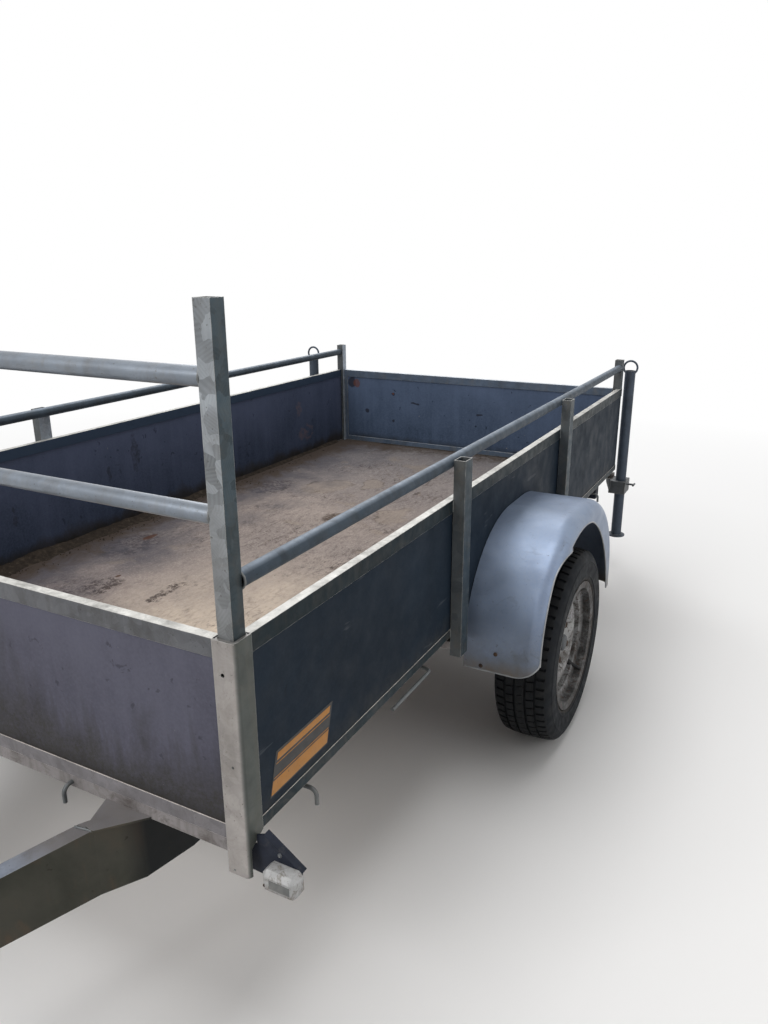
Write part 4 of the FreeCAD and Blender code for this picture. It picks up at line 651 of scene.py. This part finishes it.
class Form:
    """Points and faces gathered for one piece, in millimetres with Y behind the box front."""

    def __init__(self):
        self.points = []
        self.faces = []

    def add(self, points, faces):
        start = len(self.points)
        self.points += [Vector(point) for point in points]
        self.faces += [[start + index for index in face] for face in faces]
        return self

    def skin(self, rings, looped=False):
        """Faces between rings of equal count, with a cap on each end."""
        count = len(rings[0])
        faces = []
        for row in range(len(rings) if looped else len(rings) - 1):
            one = row * count
            two = (row + 1) % len(rings) * count
            for i in range(count):
                after = (i + 1) % count
                faces.append((one + i, one + after, two + after, two + i))
        if not looped:
            faces.append(tuple(range(count))[::-1])
            faces.append(tuple(range((len(rings) - 1) * count, len(rings) * count)))
        return self.add([point for ring in rings for point in ring], faces)

    def turned(self, profile, middle, direction, steps=24):
        """A profile of (along, radius) pairs turned round a direction through a middle."""
        ahead = Vector(direction).normalized()
        return self.skin([circle(Vector(middle) + ahead * along, direction, radius, steps)
                          for along, radius in profile])

    def sweep(self, path, radius, sides=10, looped=False):
        """A round section along a path; radius is a number or a function of the step."""
        path = [Vector(point) for point in path]
        count = len(path)
        rings = []
        side = None
        for i, point in enumerate(path):
            before = path[i - 1] if looped or i else path[0]
            after = path[(i + 1) % count] if looped or i < count - 1 else path[-1]
            ahead = (after - before).normalized()
            side = ahead.orthogonal() if side is None else side - ahead * side.dot(ahead)
            side.normalize()
            other = ahead.cross(side)
            reach = radius(i) if callable(radius) else radius
            turns = [2 * math.pi * k / sides for k in range(sides)]
            rings.append([point + (side * math.cos(turn) + other * math.sin(turn)) * reach for turn in turns])
        return self.skin(rings, looped)

    def slab(self, outline, offset, rim=0.0):
        """A flat outline raised by an offset, with its top edge drawn in by a rim."""
        low = [Vector(point) for point in outline]
        offset = Vector(offset)
        middle = sum(low, Vector()) / len(low)
        high = [point + offset for point in low]
        if not rim:
            return self.skin([low, high])
        shoulder = [point + offset * (1 - min(0.9, rim / offset.length)) for point in low]
        top = [point + (middle - point).normalized() * rim * 1.4 + offset for point in low]
        return self.skin([low, shoulder, top])

    def bolt(self, middle, direction, across=13.0, height=8.0):
        """A hexagon head, rounded on top, with its washer."""
        radius = across / math.sqrt(3)
        washer = 1.9
        disc = [(0, across * 0.92), (1.6, across * 0.92), (washer, across * 0.86)]
        self.turned(disc, middle, direction, 20)
        head = [(washer, radius), (washer + height * 0.82, radius), (washer + height, radius * 0.84)]
        return self.turned(head, middle, direction, 6)

    def screw(self, middle, direction, radius=4.0, height=2.2):
        """A domed head with a dimple for the driver."""
        profile = [(0, radius), (height * 0.45, radius * 0.97), (height * 0.8, radius * 0.75),
                   (height, radius * 0.4), (height * 0.5, radius * 0.32), (height * 0.45, 0.05)]
        return self.turned(profile, middle, direction, 14)

    def weld(self, path, radius=2.4, looped=False):
        """A ripple of weld metal along a path."""
        path = [Vector(point) for point in path]
        fine = []
        ends = len(path) if looped else len(path) - 1
        for i in range(ends):
            start, stop = path[i], path[(i + 1) % len(path)]
            count = max(1, int((stop - start).length / 1.6))
            fine += [start.lerp(stop, k / count) for k in range(count)]
        if not looped:
            fine.append(path[-1])
        swell = [radius * (0.86 + 0.2 * math.sin(i * 1.9) + random.uniform(-0.1, 0.1))
                 for i in range(len(fine))]
        return self.sweep(fine, lambda i: swell[i], 8, looped)

    def mirrored(self):
        """The same form on the trailer's other side as well."""
        points = [Vector((-point.x, point.y, point.z)) for point in self.points]
        faces = [face[::-1] for face in self.faces]
        return self.add(points, faces)

    def piece(self, name, finish, slot="galvanised", body="chassis", smooth=40):
        work = bmesh.new()
        made = [work.verts.new(at(*point)) for point in self.points]
        for face in self.faces:
            try:
                work.faces.new([made[index] for index in face])
            except ValueError:
                continue
        bmesh.ops.remove_doubles(work, verts=work.verts, dist=1e-6)
        bmesh.ops.recalc_face_normals(work, faces=work.faces)
        mesh = bpy.data.meshes.new(name)
        work.to_mesh(mesh)
        work.free()
        mesh.shade_smooth()
        mesh.set_sharp_from_angle(angle=math.radians(smooth))
        obj = bpy.data.objects.new(name, mesh)
        bpy.context.scene.collection.objects.link(obj)
        paint(obj, finish)
        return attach(obj, body)


SIDES = (("left", 1), ("right", -1))

TYRE_SIDE = (
    # from the wheel's middle plane, radius; from the bead out to the edge of the tread
    (60.0, 166.6), (65.6, 166.8), (65.6, 184.2), (70.5, 184.8), (73.0, 187.5), (74.2, 191.0), (75.0, 195.5),
    (76.4, 196.6), (77.0, 198.6), (76.2, 200.4), (76.6, 206.0), (77.4, 214.0), (78.0, 222.0), (78.0, 230.0),
    (77.6, 236.5), (78.2, 237.4), (78.2, 239.6), (77.0, 241.0), (76.0, 246.5), (74.2, 252.0), (71.4, 258.0),
    (67.6, 263.4), (64.6, 266.2),
)
TREAD = (
    # from the middle plane, radius, which cut reaches it
    (62.0, 268.2, "lug"), (52.0, 270.2, "lug"), (43.0, 271.4, "lug"), (42.4, 265.0, None),
    (37.0, 265.0, None), (36.4, 271.8, "sipe"), (27.0, 272.4, "sipe"), (18.0, 272.7, "sipe"),
    (17.4, 265.6, None), (12.0, 265.6, None), (11.4, 272.9, None), (4.0, 273.0, "slit"),
    (-4.0, 273.0, "slit"),
)
PITCHES = 62
CUTS = {
    # share of the pitch where a cut starts and stops, how deep it is, how far it slants
    "lug": (0.05, 0.34, 5.0, 0.9), "sipe": (0.5, 0.66, 4.2, -1.4), "slit": (0.3, 0.4, 3.0, 0.6),
}


def tread_steps():
    """Angles round the tyre, close together where cuts start and stop."""
    shares = [0.0, 0.04, 0.06, 0.29, 0.31, 0.33, 0.35, 0.41, 0.49, 0.51, 0.65, 0.67, 0.85]
    return [(pitch + share) / PITCHES for pitch in range(PITCHES) for share in shares]


def tyre_ring(turn, sign):
    """One section of the tyre at a turn, with the cuts that pass there."""
    share = turn * PITCHES % 1.0
    section = [(-beside, reach, None) for beside, reach in TYRE_SIDE]
    tread = [(-beside, reach, cut) for beside, reach, cut in TREAD]
    tread += [(beside, reach, cut) for beside, reach, cut in TREAD[::-1] if beside > 4]
    section += tread + [(beside, reach, None) for beside, reach in TYRE_SIDE[::-1]]
    ring = []
    for beside, reach, cut in section:
        if cut:
            start, stop, deep, slant = CUTS[cut]
            if start < share < stop:
                reach -= deep
            lean = slant * (abs(beside) - 40) / 2600 * (1 if beside > 0 else -1)
        else:
            lean = 0
        angle = 2 * math.pi * turn + lean
        ring.append((sign * WHEEL_OUT + beside, WHEEL_BACK + reach * math.cos(angle),
                     WHEEL_RADIUS + reach * math.sin(angle)))
    return ring


def tyres():
    for side, sign in SIDES:
        form = Form().skin([tyre_ring(turn, sign) for turn in tread_steps()], looped=True)
        tyre = form.piece(f"tread_tyre_{side}", "tyre_rubber", "tyre_rubber", f"wheel_{side}", 32)
        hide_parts(f"tyre_{side}")


def wheel_details():
    """Wheel nuts, the hub's cap and the valve."""
    for side, sign in SIDES:
        face = sign * (WHEEL_OUT + 22)
        out = (sign, 0, 0)
        nuts = Form()
        for k in range(4):
            angle = math.pi / 4 + k * math.pi / 2 + 0.3
            middle = (face, WHEEL_BACK + 50 * math.cos(angle), WHEEL_RADIUS + 50 * math.sin(angle))
            nuts.turned([(-1, 12.5), (1.5, 12.5), (4, 10.9)], middle, out, 20)
            nuts.turned([(3.5, 10.9), (13, 10.9), (16.5, 7.4), (17.2, 4)], middle, out, 6)
        nuts.piece(f"wheel_nuts_{side}", "rusty_iron", "hub_iron", f"wheel_{side}")
        cap = Form().turned([(3, 24.5), (7, 26), (8, 24), (17, 23), (20.5, 19.5), (22, 10), (22.2, 0.1)],
                            (face, WHEEL_BACK, WHEEL_RADIUS), out, 36)
        cap.piece(f"hub_cap_{side}", "dark_zinc", body=f"wheel_{side}")
        lean = Vector((sign * 0.82, 0.25, -0.5)).normalized()
        profile = [(-6, 8.2), (2, 8.2), (5, 6.2), (12, 5.2), (28, 5.0), (29, 4.2), (36, 4.2), (37, 3.4)]
        foot = (sign * (WHEEL_OUT + 36), WHEEL_BACK + 92, WHEEL_RADIUS - 108)
        stem = Form().turned(profile, foot, lean, 16)
        stem.piece(f"valve_{side}", "grip_plastic", "tyre_rubber", f"wheel_{side}")


FENDER_MID = 1225
FENDER_TOP = 679
FENDER_OUT = 866
FENDER_BOW = 300
FENDER_HALF = 355
SHOULDER = 38
SKIRT_EDGE = (
    # behind the fender's middle, below its top, level of the next stretch's arc centre below its top
    (-341.5, 292, None), (-341.5, 300, 300), (-267.9, 108.3, 192.6), (-184, 67, None), (-146, 68, None),
    (-150, 54, 373), (60, 52, 430.4), (302, 338, None),
)


def arc_points(start, stop, level, count):
    """Points of the arc between two points whose centre lies at a level."""
    middle = ((start[0] + stop[0]) / 2, (start[1] + stop[1]) / 2)
    normal = (start[1] - stop[1], stop[0] - start[0])
    step = (level - middle[1]) / normal[1]
    centre = (middle[0] + step * normal[0], level)
    first = math.atan2(start[1] - centre[1], start[0] - centre[0])
    last = math.atan2(stop[1] - centre[1], stop[0] - centre[0])
    if last - first > math.pi:
        last -= 2 * math.pi
    if first - last > math.pi:
        last += 2 * math.pi
    reach = math.dist(start, centre)
    turns = [first + (last - first) * k / count for k in range(count)]
    return [(centre[0] + reach * math.cos(turn), centre[1] + reach * math.sin(turn)) for turn in turns]


def skirt_point(back, drop):
    """A point of the skirt's edge on the fender's rounded shoulder, drawn in to the bow."""
    flat = FENDER_HALF - FENDER_BOW
    if drop >= FENDER_BOW:
        inside = FENDER_HALF - abs(back)
    elif abs(back) <= flat:
        inside = drop
    else:
        side = math.copysign(1, back)
        reach = math.hypot(abs(back) - flat, FENDER_BOW - drop)
        inside = FENDER_BOW - reach
        if inside < 0:
            shrink = FENDER_BOW / reach
            back = side * (flat + (abs(back) - flat) * shrink)
            drop = FENDER_BOW - (FENDER_BOW - drop) * shrink
            inside = 0
    sunk = max(0, SHOULDER - inside)
    x = FENDER_OUT - SHOULDER + math.sqrt(SHOULDER ** 2 - sunk ** 2)
    return (x - 1.2, FENDER_MID + back, FENDER_TOP - drop)


def fender_trim():
    """The rolled bead along the fender's lower edge and its cut-out, and the screws of its front."""
    hem, corner = 341, 75
    curve = FENDER_OUT - corner
    front = FENDER_MID - FENDER_HALF
    path = [(668 + (curve - 668) * k / 12, front + 1.2, hem + 1.2) for k in range(12)]
    last = math.asin(66 / corner)
    for k in range(14):
        turn = last * k / 14
        x = curve + (corner - 1.2) * math.sin(turn)
        inset = 0 if x < FENDER_OUT - SHOULDER else SHOULDER - math.sqrt(
            SHOULDER ** 2 - (x - FENDER_OUT + SHOULDER) ** 2)
        path.append((x, front + 1.2 + inset, hem + corner - (corner - 1.2) * math.cos(turn)))
    outline = []
    for start, stop in zip(SKIRT_EDGE, SKIRT_EDGE[1:]):
        if start[2]:
            outline += arc_points(start[:2], stop[:2], start[2], 26)
        else:
            outline += [(start[0] + (stop[0] - start[0]) * k / 8, start[1] + (stop[1] - start[1]) * k / 8)
                        for k in range(8)]
    outline.append(SKIRT_EDGE[-1][:2])
    path += [skirt_point(back, drop) for back, drop in outline]
    bead = Form().sweep(path, 2.3, 10).mirrored()
    bead.piece("fender_beads", "bright_zinc", smooth=60)
    screws = Form()
    for x, z in ((747.7, 392.8), (710.7, 353.0)):
        screws.turned([(0, 5.4), (1.2, 5.2), (2.4, 3.6), (2.8, 1)], (x, front, z), (0, -1, 0), 16)
    for y in (FENDER_MID - 150, FENDER_MID + 150):
        screws.bolt((FENDER_OUT - 176, y, FENDER_TOP - 32), (0, 0, 1), 10, 6)
    screws.mirrored().piece("fender_screws", "rusty_iron")


LABEL_FOOT = 499
LABEL_LEAN = 0.29


def label():
    """The sticker on the left side, with its bands and without any words."""
    face = HALF - 2 + 0.1

    def band(low, high, start, stop, lift):
        corners = ((start, low), (stop, low), (stop, high), (start, high))
        return [(face + lift, y + (z - LABEL_FOOT) * LABEL_LEAN, z) for y, z in corners]

    black = Form().slab(band(496, 571, 66, 237, 0), (0.5, 0, 0), 0.2)
    black.piece("label_back", "label_black", "panel_ply", smooth=20)
    amber = Form()
    for low, high, start, stop in ((499, 522, 68, 235), (554, 566, 72, 230), (525, 526.5, 70, 233),
                                   (548, 549.5, 71, 232)):
        amber.slab(band(low, high, start, stop, 0.5), (0.25, 0, 0))
    amber.piece("label_bands", "label_amber", "panel_ply", smooth=20)


def welds():
    """Weld beads where tubes meet posts, stakes, legs and the foot plates."""
    form = Form()
    for level in (TOP + 371, TOP + 181):
        form.weld(circle((631.5, 20, level), (1, 0, 0), 14.2), 2.2, looped=True)
    form.weld(circle((651.5, 34.6, TOP + 83), (0, 1, 0), 13.8), 2.0, looped=True)
    for start in (780, 1626):
        for rise in (-5, 5):
            form.weld([(665.4, start + 3, TOP + 83 + rise), (665.4, start + 37, TOP + 83 + rise)], 2.0)
        for y in (start - 0.6, start + 40.6):
            form.weld([(665.6, y, DECK + 3), (665.6, y, DECK + 20)], 1.8)
            form.weld([(665.6, y, TOP - 28), (665.6, y, TOP - 2)], 1.8)
    form.weld([(632, 6, TOP + 0.6), (632, 34, TOP + 0.6)], 1.8)
    form.weld([(632, 34.4, TOP + 0.6), (660, 34.4, TOP + 0.6)], 1.8)
    form.weld([(398, -66, 428.8), (365, -72, 428.8)], 2.6)
    form.weld([(403, -62, 428.6), (438, -4, 428.6)], 2.2)
    form.weld([(30.5, -1180, 366), (30.5, -1180, 426)], 2.4)
    form.weld([(30.5, -1178, 428.4), (30.5, -1044, 428.4)], 2.4)
    form.mirrored().piece("weld_beads", "dull_zinc", smooth=60)
    for side, out, back, level in (("left", 680, 2568, 160.6), ("right", -701, 2332, 174.6)):
        foot = Form().weld(circle((out, back, level), (0, 0, 1), 21.4), 2.0, looped=True)
        foot.piece(f"foot_weld_{side}", "dark_zinc", body=f"stand_{side}", smooth=60)


def corner_plates():
    """Thin plates that close the top of the front corner profiles round the headboard posts."""
    form = Form().slab([(627, 1, TOP - 2.6), (664, 1, TOP - 2.6), (664, 38, TOP - 2.6), (627, 38, TOP - 2.6)],
                       (0, 0, 2.2), 0.8)
    form.mirrored().piece("corner_plates", "corner_zinc", smooth=30)


def small_fasteners():
    """Rivets, screws and bolts of the box, the drawbar and the axle."""
    form = Form()
    for x, z in ((648.3, 591.4), (637.1, 398.7)):
        form.screw((x, -1, z), (0, -1, 0), 2.2, 1.0)
    form.screw((709, 22, 438), (0, -1, 0), 4.0, 2.4)
    for y in (1060, 1120):
        form.bolt((492, y, 297.6), (0, 0, -1), 13, 8)
    for y in (-1270, -1225):
        form.bolt((36.2, y, 410), (1, 0, 0), 17, 10)
        form.turned([(0, 6), (7, 6), (7.6, 5)], (36.2, y + 0.1, 410), (1, 0, 0), 12)
    form.mirrored()
    for x, y in ((70, -965), (-70, -965), (70, -1005), (-70, -1005)):
        form.bolt((x, y, 434), (0, 0, 1), 13, 8)
    form.piece("frame_bolts", "dark_zinc")


def tail_fittings():
    """Screws of the hinge straps and the tailgate's two bolts, which ride on it."""
    screws = Form()
    for z in (482, 512, 542):
        for x in (410, 430):
            screws.screw((x, 2507, z), (0, 1, 0), 4.2, 2.4)
    screws.mirrored().piece("strap_screws", "bright_zinc", body="tailgate")
    latch = Form()
    plate = [(588, 2504, 768), (622, 2504, 768), (622, 2504, 796), (588, 2504, 796)]
    latch.slab(plate, (0, 2.5, 0), 0.8)
    latch.turned([(-34, 5.6), (-33, 6.2), (12, 6.2), (12.5, 5.6)], (619, 2512.5, 782), (1, 0, 0), 20)
    latch.turned([(-6, 3.2), (14, 3.2), (15, 2.4)], (617, 2512.5, 782), (1, 0, 0), 14)
    latch.sweep([(604, 2513, 782), (604, 2522, 782), (604, 2526, 778), (604, 2526, 764)], 2.6, 10)
    for x in (592, 618):
        for z in (772, 792):
            latch.screw((x, 2506.5, z), (0, 1, 0), 2.6, 1.4)
    latch.mirrored().piece("tailgate_bolts", "bright_zinc", body="tailgate")


def lamp_details():
    """Windows of the front marker lamps, and lenses of the rear lamps."""
    face = 2520.9
    outline = [(706, -5.8, 397), (744, -5.8, 397), (744, -5.8, 412), (706, -5.8, 412)]
    window = Form().slab(outline, (0, -0.9, 0), 0.4)
    window.mirrored().piece("marker_windows", "lamp_window", "lamp_plastic", smooth=20)
    spot = Form().turned([(0, 3.4), (0.8, 3.2), (0.9, 1)], (697.5, -4.6, 398), (0.2, -1, 0.05), 14)
    spot.mirrored().piece("marker_screws", "rusty_iron", "lamp_plastic")
    for name, start, stop in (("clear", 405, 448), ("red", 451, 529), ("amber", 532, 595)):
        corner = 7
        left, right, low, high = start + corner, stop - corner, 335 + corner, 411 - corner
        outline = []
        for x, z, turn in ((right, high, 0), (left, high, 90), (left, low, 180), (right, low, 270)):
            for k in range(5):
                angle = math.radians(turn + k * 22.5)
                outline.append((x + corner * math.cos(angle), face, z + corner * math.sin(angle)))
        form = Form().slab(outline, (0, 7, 0), 2.4)
        form.mirrored().piece(f"{name}_lenses", f"{name}_lens", "lamp_plastic", smooth=30)
    screws = Form()
    for x in (449.5, 530.5):
        screws.screw((x, 2521, 405), (0, 1, 0), 3.4, 2.4).screw((x, 2521, 341), (0, 1, 0), 3.4, 2.4)
    screws.mirrored().piece("lens_screws", "bright_zinc", "lamp_plastic")


def drawbar_details():
    """Grip of the crank, grip and pivot of the coupling's lever."""
    profile = [(0, 12.4), (2, 14), (10, 14.6), (34, 13.4), (60, 14.8), (82, 14), (90, 10.5), (91.5, 4)]
    grip = Form().turned(profile, (0, -875, 781), (0, 0, 1), 28)
    grip.piece("crank_grip", "grip_plastic", "black_plastic", smooth=50)
    pivot = Form()
    for sign in (1, -1):
        pivot.bolt((sign * 16, -1298, 442), (sign, 0, 0), 13, 6)
    loop = [(-19, -1228, 452), (-24, -1228, 466), (0, -1226, 486), (24, -1228, 466), (19, -1228, 452)]
    pivot.sweep(loop, 2.2, 8)
    pivot.piece("lever_pivot", "dark_zinc", "coupling_steel")
    under = [(-18, -1226, 459), (18, -1226, 459), (18, -1160, 482), (-18, -1160, 482)]
    sleeve = Form().slab(under, (0, 4, 12), 2)
    sleeve.piece("lever_sleeve", "grip_plastic", "black_plastic", smooth=40)


def stone(form, x, y, size):
    """A rough pebble on the floor: an octahedron with its corners pushed about."""
    middle = Vector((x, y, DECK + size * 0.5))
    corners = []
    for axis in ((1, 0, 0), (-1, 0, 0), (0, 1, 0), (0, -1, 0), (0, 0, 1), (0, 0, -1)):
        corner = Vector(axis) * size * random.uniform(0.6, 1.15)
        corner += Vector((random.uniform(-1, 1), random.uniform(-1, 1), random.uniform(-1, 1))) * size * 0.25
        corner.z *= 0.7
        corners.append(middle + corner)
    form.add(corners, ((0, 2, 4), (2, 1, 4), (1, 3, 4), (3, 0, 4),
                       (2, 0, 5), (1, 2, 5), (3, 1, 5), (0, 3, 5)))


def floor_dirt():
    """Dirt that has gathered along the right wall and the front, with grit beside it."""
    ridge = Form()
    rings = []
    steps = 220
    wall = -650.6
    width, height = 62.0, 17.0
    for k in range(steps + 1):
        y = 24 + (2440 - 24) * k / steps
        width = max(44, min(84, width + random.uniform(-7, 7)))
        height = max(12, min(22, height + random.uniform(-2.2, 2.2)))
        fade = max(0.3, min(1, 1.6 - k / steps * 1.9))
        wide, tall = width * fade, height * (0.35 + 0.65 * fade)
        if k in (0, steps):
            wide, tall = 5, 1.0
        ring = [(wall, y, DECK - 0.2), (wall, y, DECK + tall)]
        for share, low, high in ((0.22, 0.75, 1.0), (0.5, 0.3, 0.6), (0.8, 0.12, 0.3)):
            ring.append((wall + wide * share, y + random.uniform(-3, 3),
                         DECK + tall * random.uniform(low, high)))
        rings.append([*ring, (wall + wide, y + random.uniform(-3, 3), DECK - 0.2)])
    ridge.skin(rings)
    ridge.piece("dirt_ridge", "road_dirt", "floor_ply", smooth=60)
    grit = Form()
    for _ in range(520):
        size = random.uniform(1.0, 3.4)
        back = 30 + random.betavariate(1.1, 1.8) * 2350
        stone(grit, -618 + abs(random.gauss(0, 36)), back, size)
    for _ in range(150):
        size = random.uniform(1.0, 2.8)
        stone(grit, random.uniform(-640, 640), 18 + abs(random.gauss(0, 26)), size)
    for _ in range(150):
        size = random.uniform(0.9, 2.6)
        stone(grit, random.uniform(-600, 600), 2480 - abs(random.gauss(0, 40)), size)
    for _ in range(160):
        size = random.uniform(0.9, 2.4)
        stone(grit, 648 - abs(random.gauss(0, 22)), random.uniform(40, 2440), size)
    grit.piece("floor_grit", "road_dirt", "floor_ply", smooth=20)


FOCAL = 795.6 / 768  # as a share of the picture's width
SENSOR = 36


def camera():
    data = bpy.data.cameras.new("camera")
    data.sensor_fit = "HORIZONTAL"
    data.sensor_width = SENSOR
    data.lens = FOCAL * SENSOR
    data.clip_end = 200
    item = bpy.data.objects.new("camera", data)
    bpy.context.scene.collection.objects.link(item)
    right = Vector((0.88301064, 0.46932979, -0.00466528))
    down = Vector((0.14071577, -0.27420314, -0.95132103))
    forward = Vector((-0.44776253, 0.83937011, -0.30816639))
    turn = Matrix((right, -down, -forward)).transposed().to_4x4()
    turn.translation = at(1327.2, -789.4, TOP + 521.8)
    item.matrix_world = turn
    bpy.context.scene.camera = item


def area_light(name, place, target, size, power):
    data = bpy.data.lights.new(name, "AREA")
    data.shape = "RECTANGLE"
    data.size, data.size_y = size
    data.energy = power
    item = bpy.data.objects.new(name, data)
    bpy.context.scene.collection.objects.link(item)
    item.location = place
    item.rotation_euler = (Vector(target) - Vector(place)).to_track_quat("-Z", "Y").to_euler()


def seen_rays(tree):
    """1 for rays from the camera, off glossy faces and through clear ones."""
    path = add(tree, "LightPath").outputs
    value = path["Is Camera Ray"]
    for name in ("Is Glossy Ray", "Is Transmission Ray"):
        node = add(tree, "Math")
        node.operation = "MAXIMUM"
        put(tree, node.inputs[0], value)
        put(tree, node.inputs[1], path[name])
        value = node.outputs[0]
    return value


WORLD_LIGHT = 0.28


def studio():
    area_light("key", (-1.4, -4.8, 4.0), (0, 0.1, 0.5), (3.0, 2.6), 150)
    area_light("fill", (4.8, 0.4, 2.4), (0, 0.5, 0.4), (4, 3), 40)
    area_light("back", (-2.5, 5.0, 4.8), (0, 0.3, 0.5), (4, 4), 150)
    area_light("top", (0, 0.2, 5.5), (0, 0.2, 0), (4, 4), 150)
    world = bpy.data.worlds.new("studio")
    bpy.context.scene.world = world
    world.use_nodes = True
    tree = world.node_tree
    tree.nodes.clear()
    strength = add(tree, "MapRange", Value=seen_rays(tree), To_Min=WORLD_LIGHT, To_Max=1.0)
    background = add(tree, "Background", Color=(1, 1, 1, 1), Strength=strength.outputs[0])
    add(tree, "OutputWorld", Surface=background.outputs[0])


PALE_FLOOR = (240, 239, 238)
FLOOR_FADES = (1.9, 5.5)
FLOOR_REACH = 60


def ground():
    """A pale floor that runs out into the white background."""
    mesh = bpy.data.meshes.new("ground")
    corners = ((-1, -1), (1, -1), (1, 1), (-1, 1))
    mesh.from_pydata([(x * FLOOR_REACH, y * FLOOR_REACH, 0) for x, y in corners], [], [(0, 1, 2, 3)])
    item = bpy.data.objects.new("ground", mesh)
    bpy.context.scene.collection.objects.link(item)
    look = Look("ground", PALE_FLOOR, Roughness=0.9).show()
    white = look.node("Emission").outputs[0]
    away = look.vector("LENGTH", look.place, output="Value")
    far = look.ramp(look.span(away, *FLOOR_FADES), (0.0, 0.0), (0.4, 0.6), (1.0, 1.0))
    blend = look.node("MixShader", Fac=look.times(far, seen_rays(look.tree)))
    look.put(blend.inputs[1], look.shader.outputs[0])
    look.put(blend.inputs[2], white)
    look.put(look.output.inputs[0], blend.outputs[0])
    mesh.materials.append(look.material)


random.seed(7)
bpy.context.scene.view_settings.view_transform = "Standard"
camera()
make_materials()
finish_nodes()
tyres()
wheel_details()
fender_trim()
label()
welds()
corner_plates()
small_fasteners()
tail_fittings()
lamp_details()
drawbar_details()
floor_dirt()
studio()
ground()
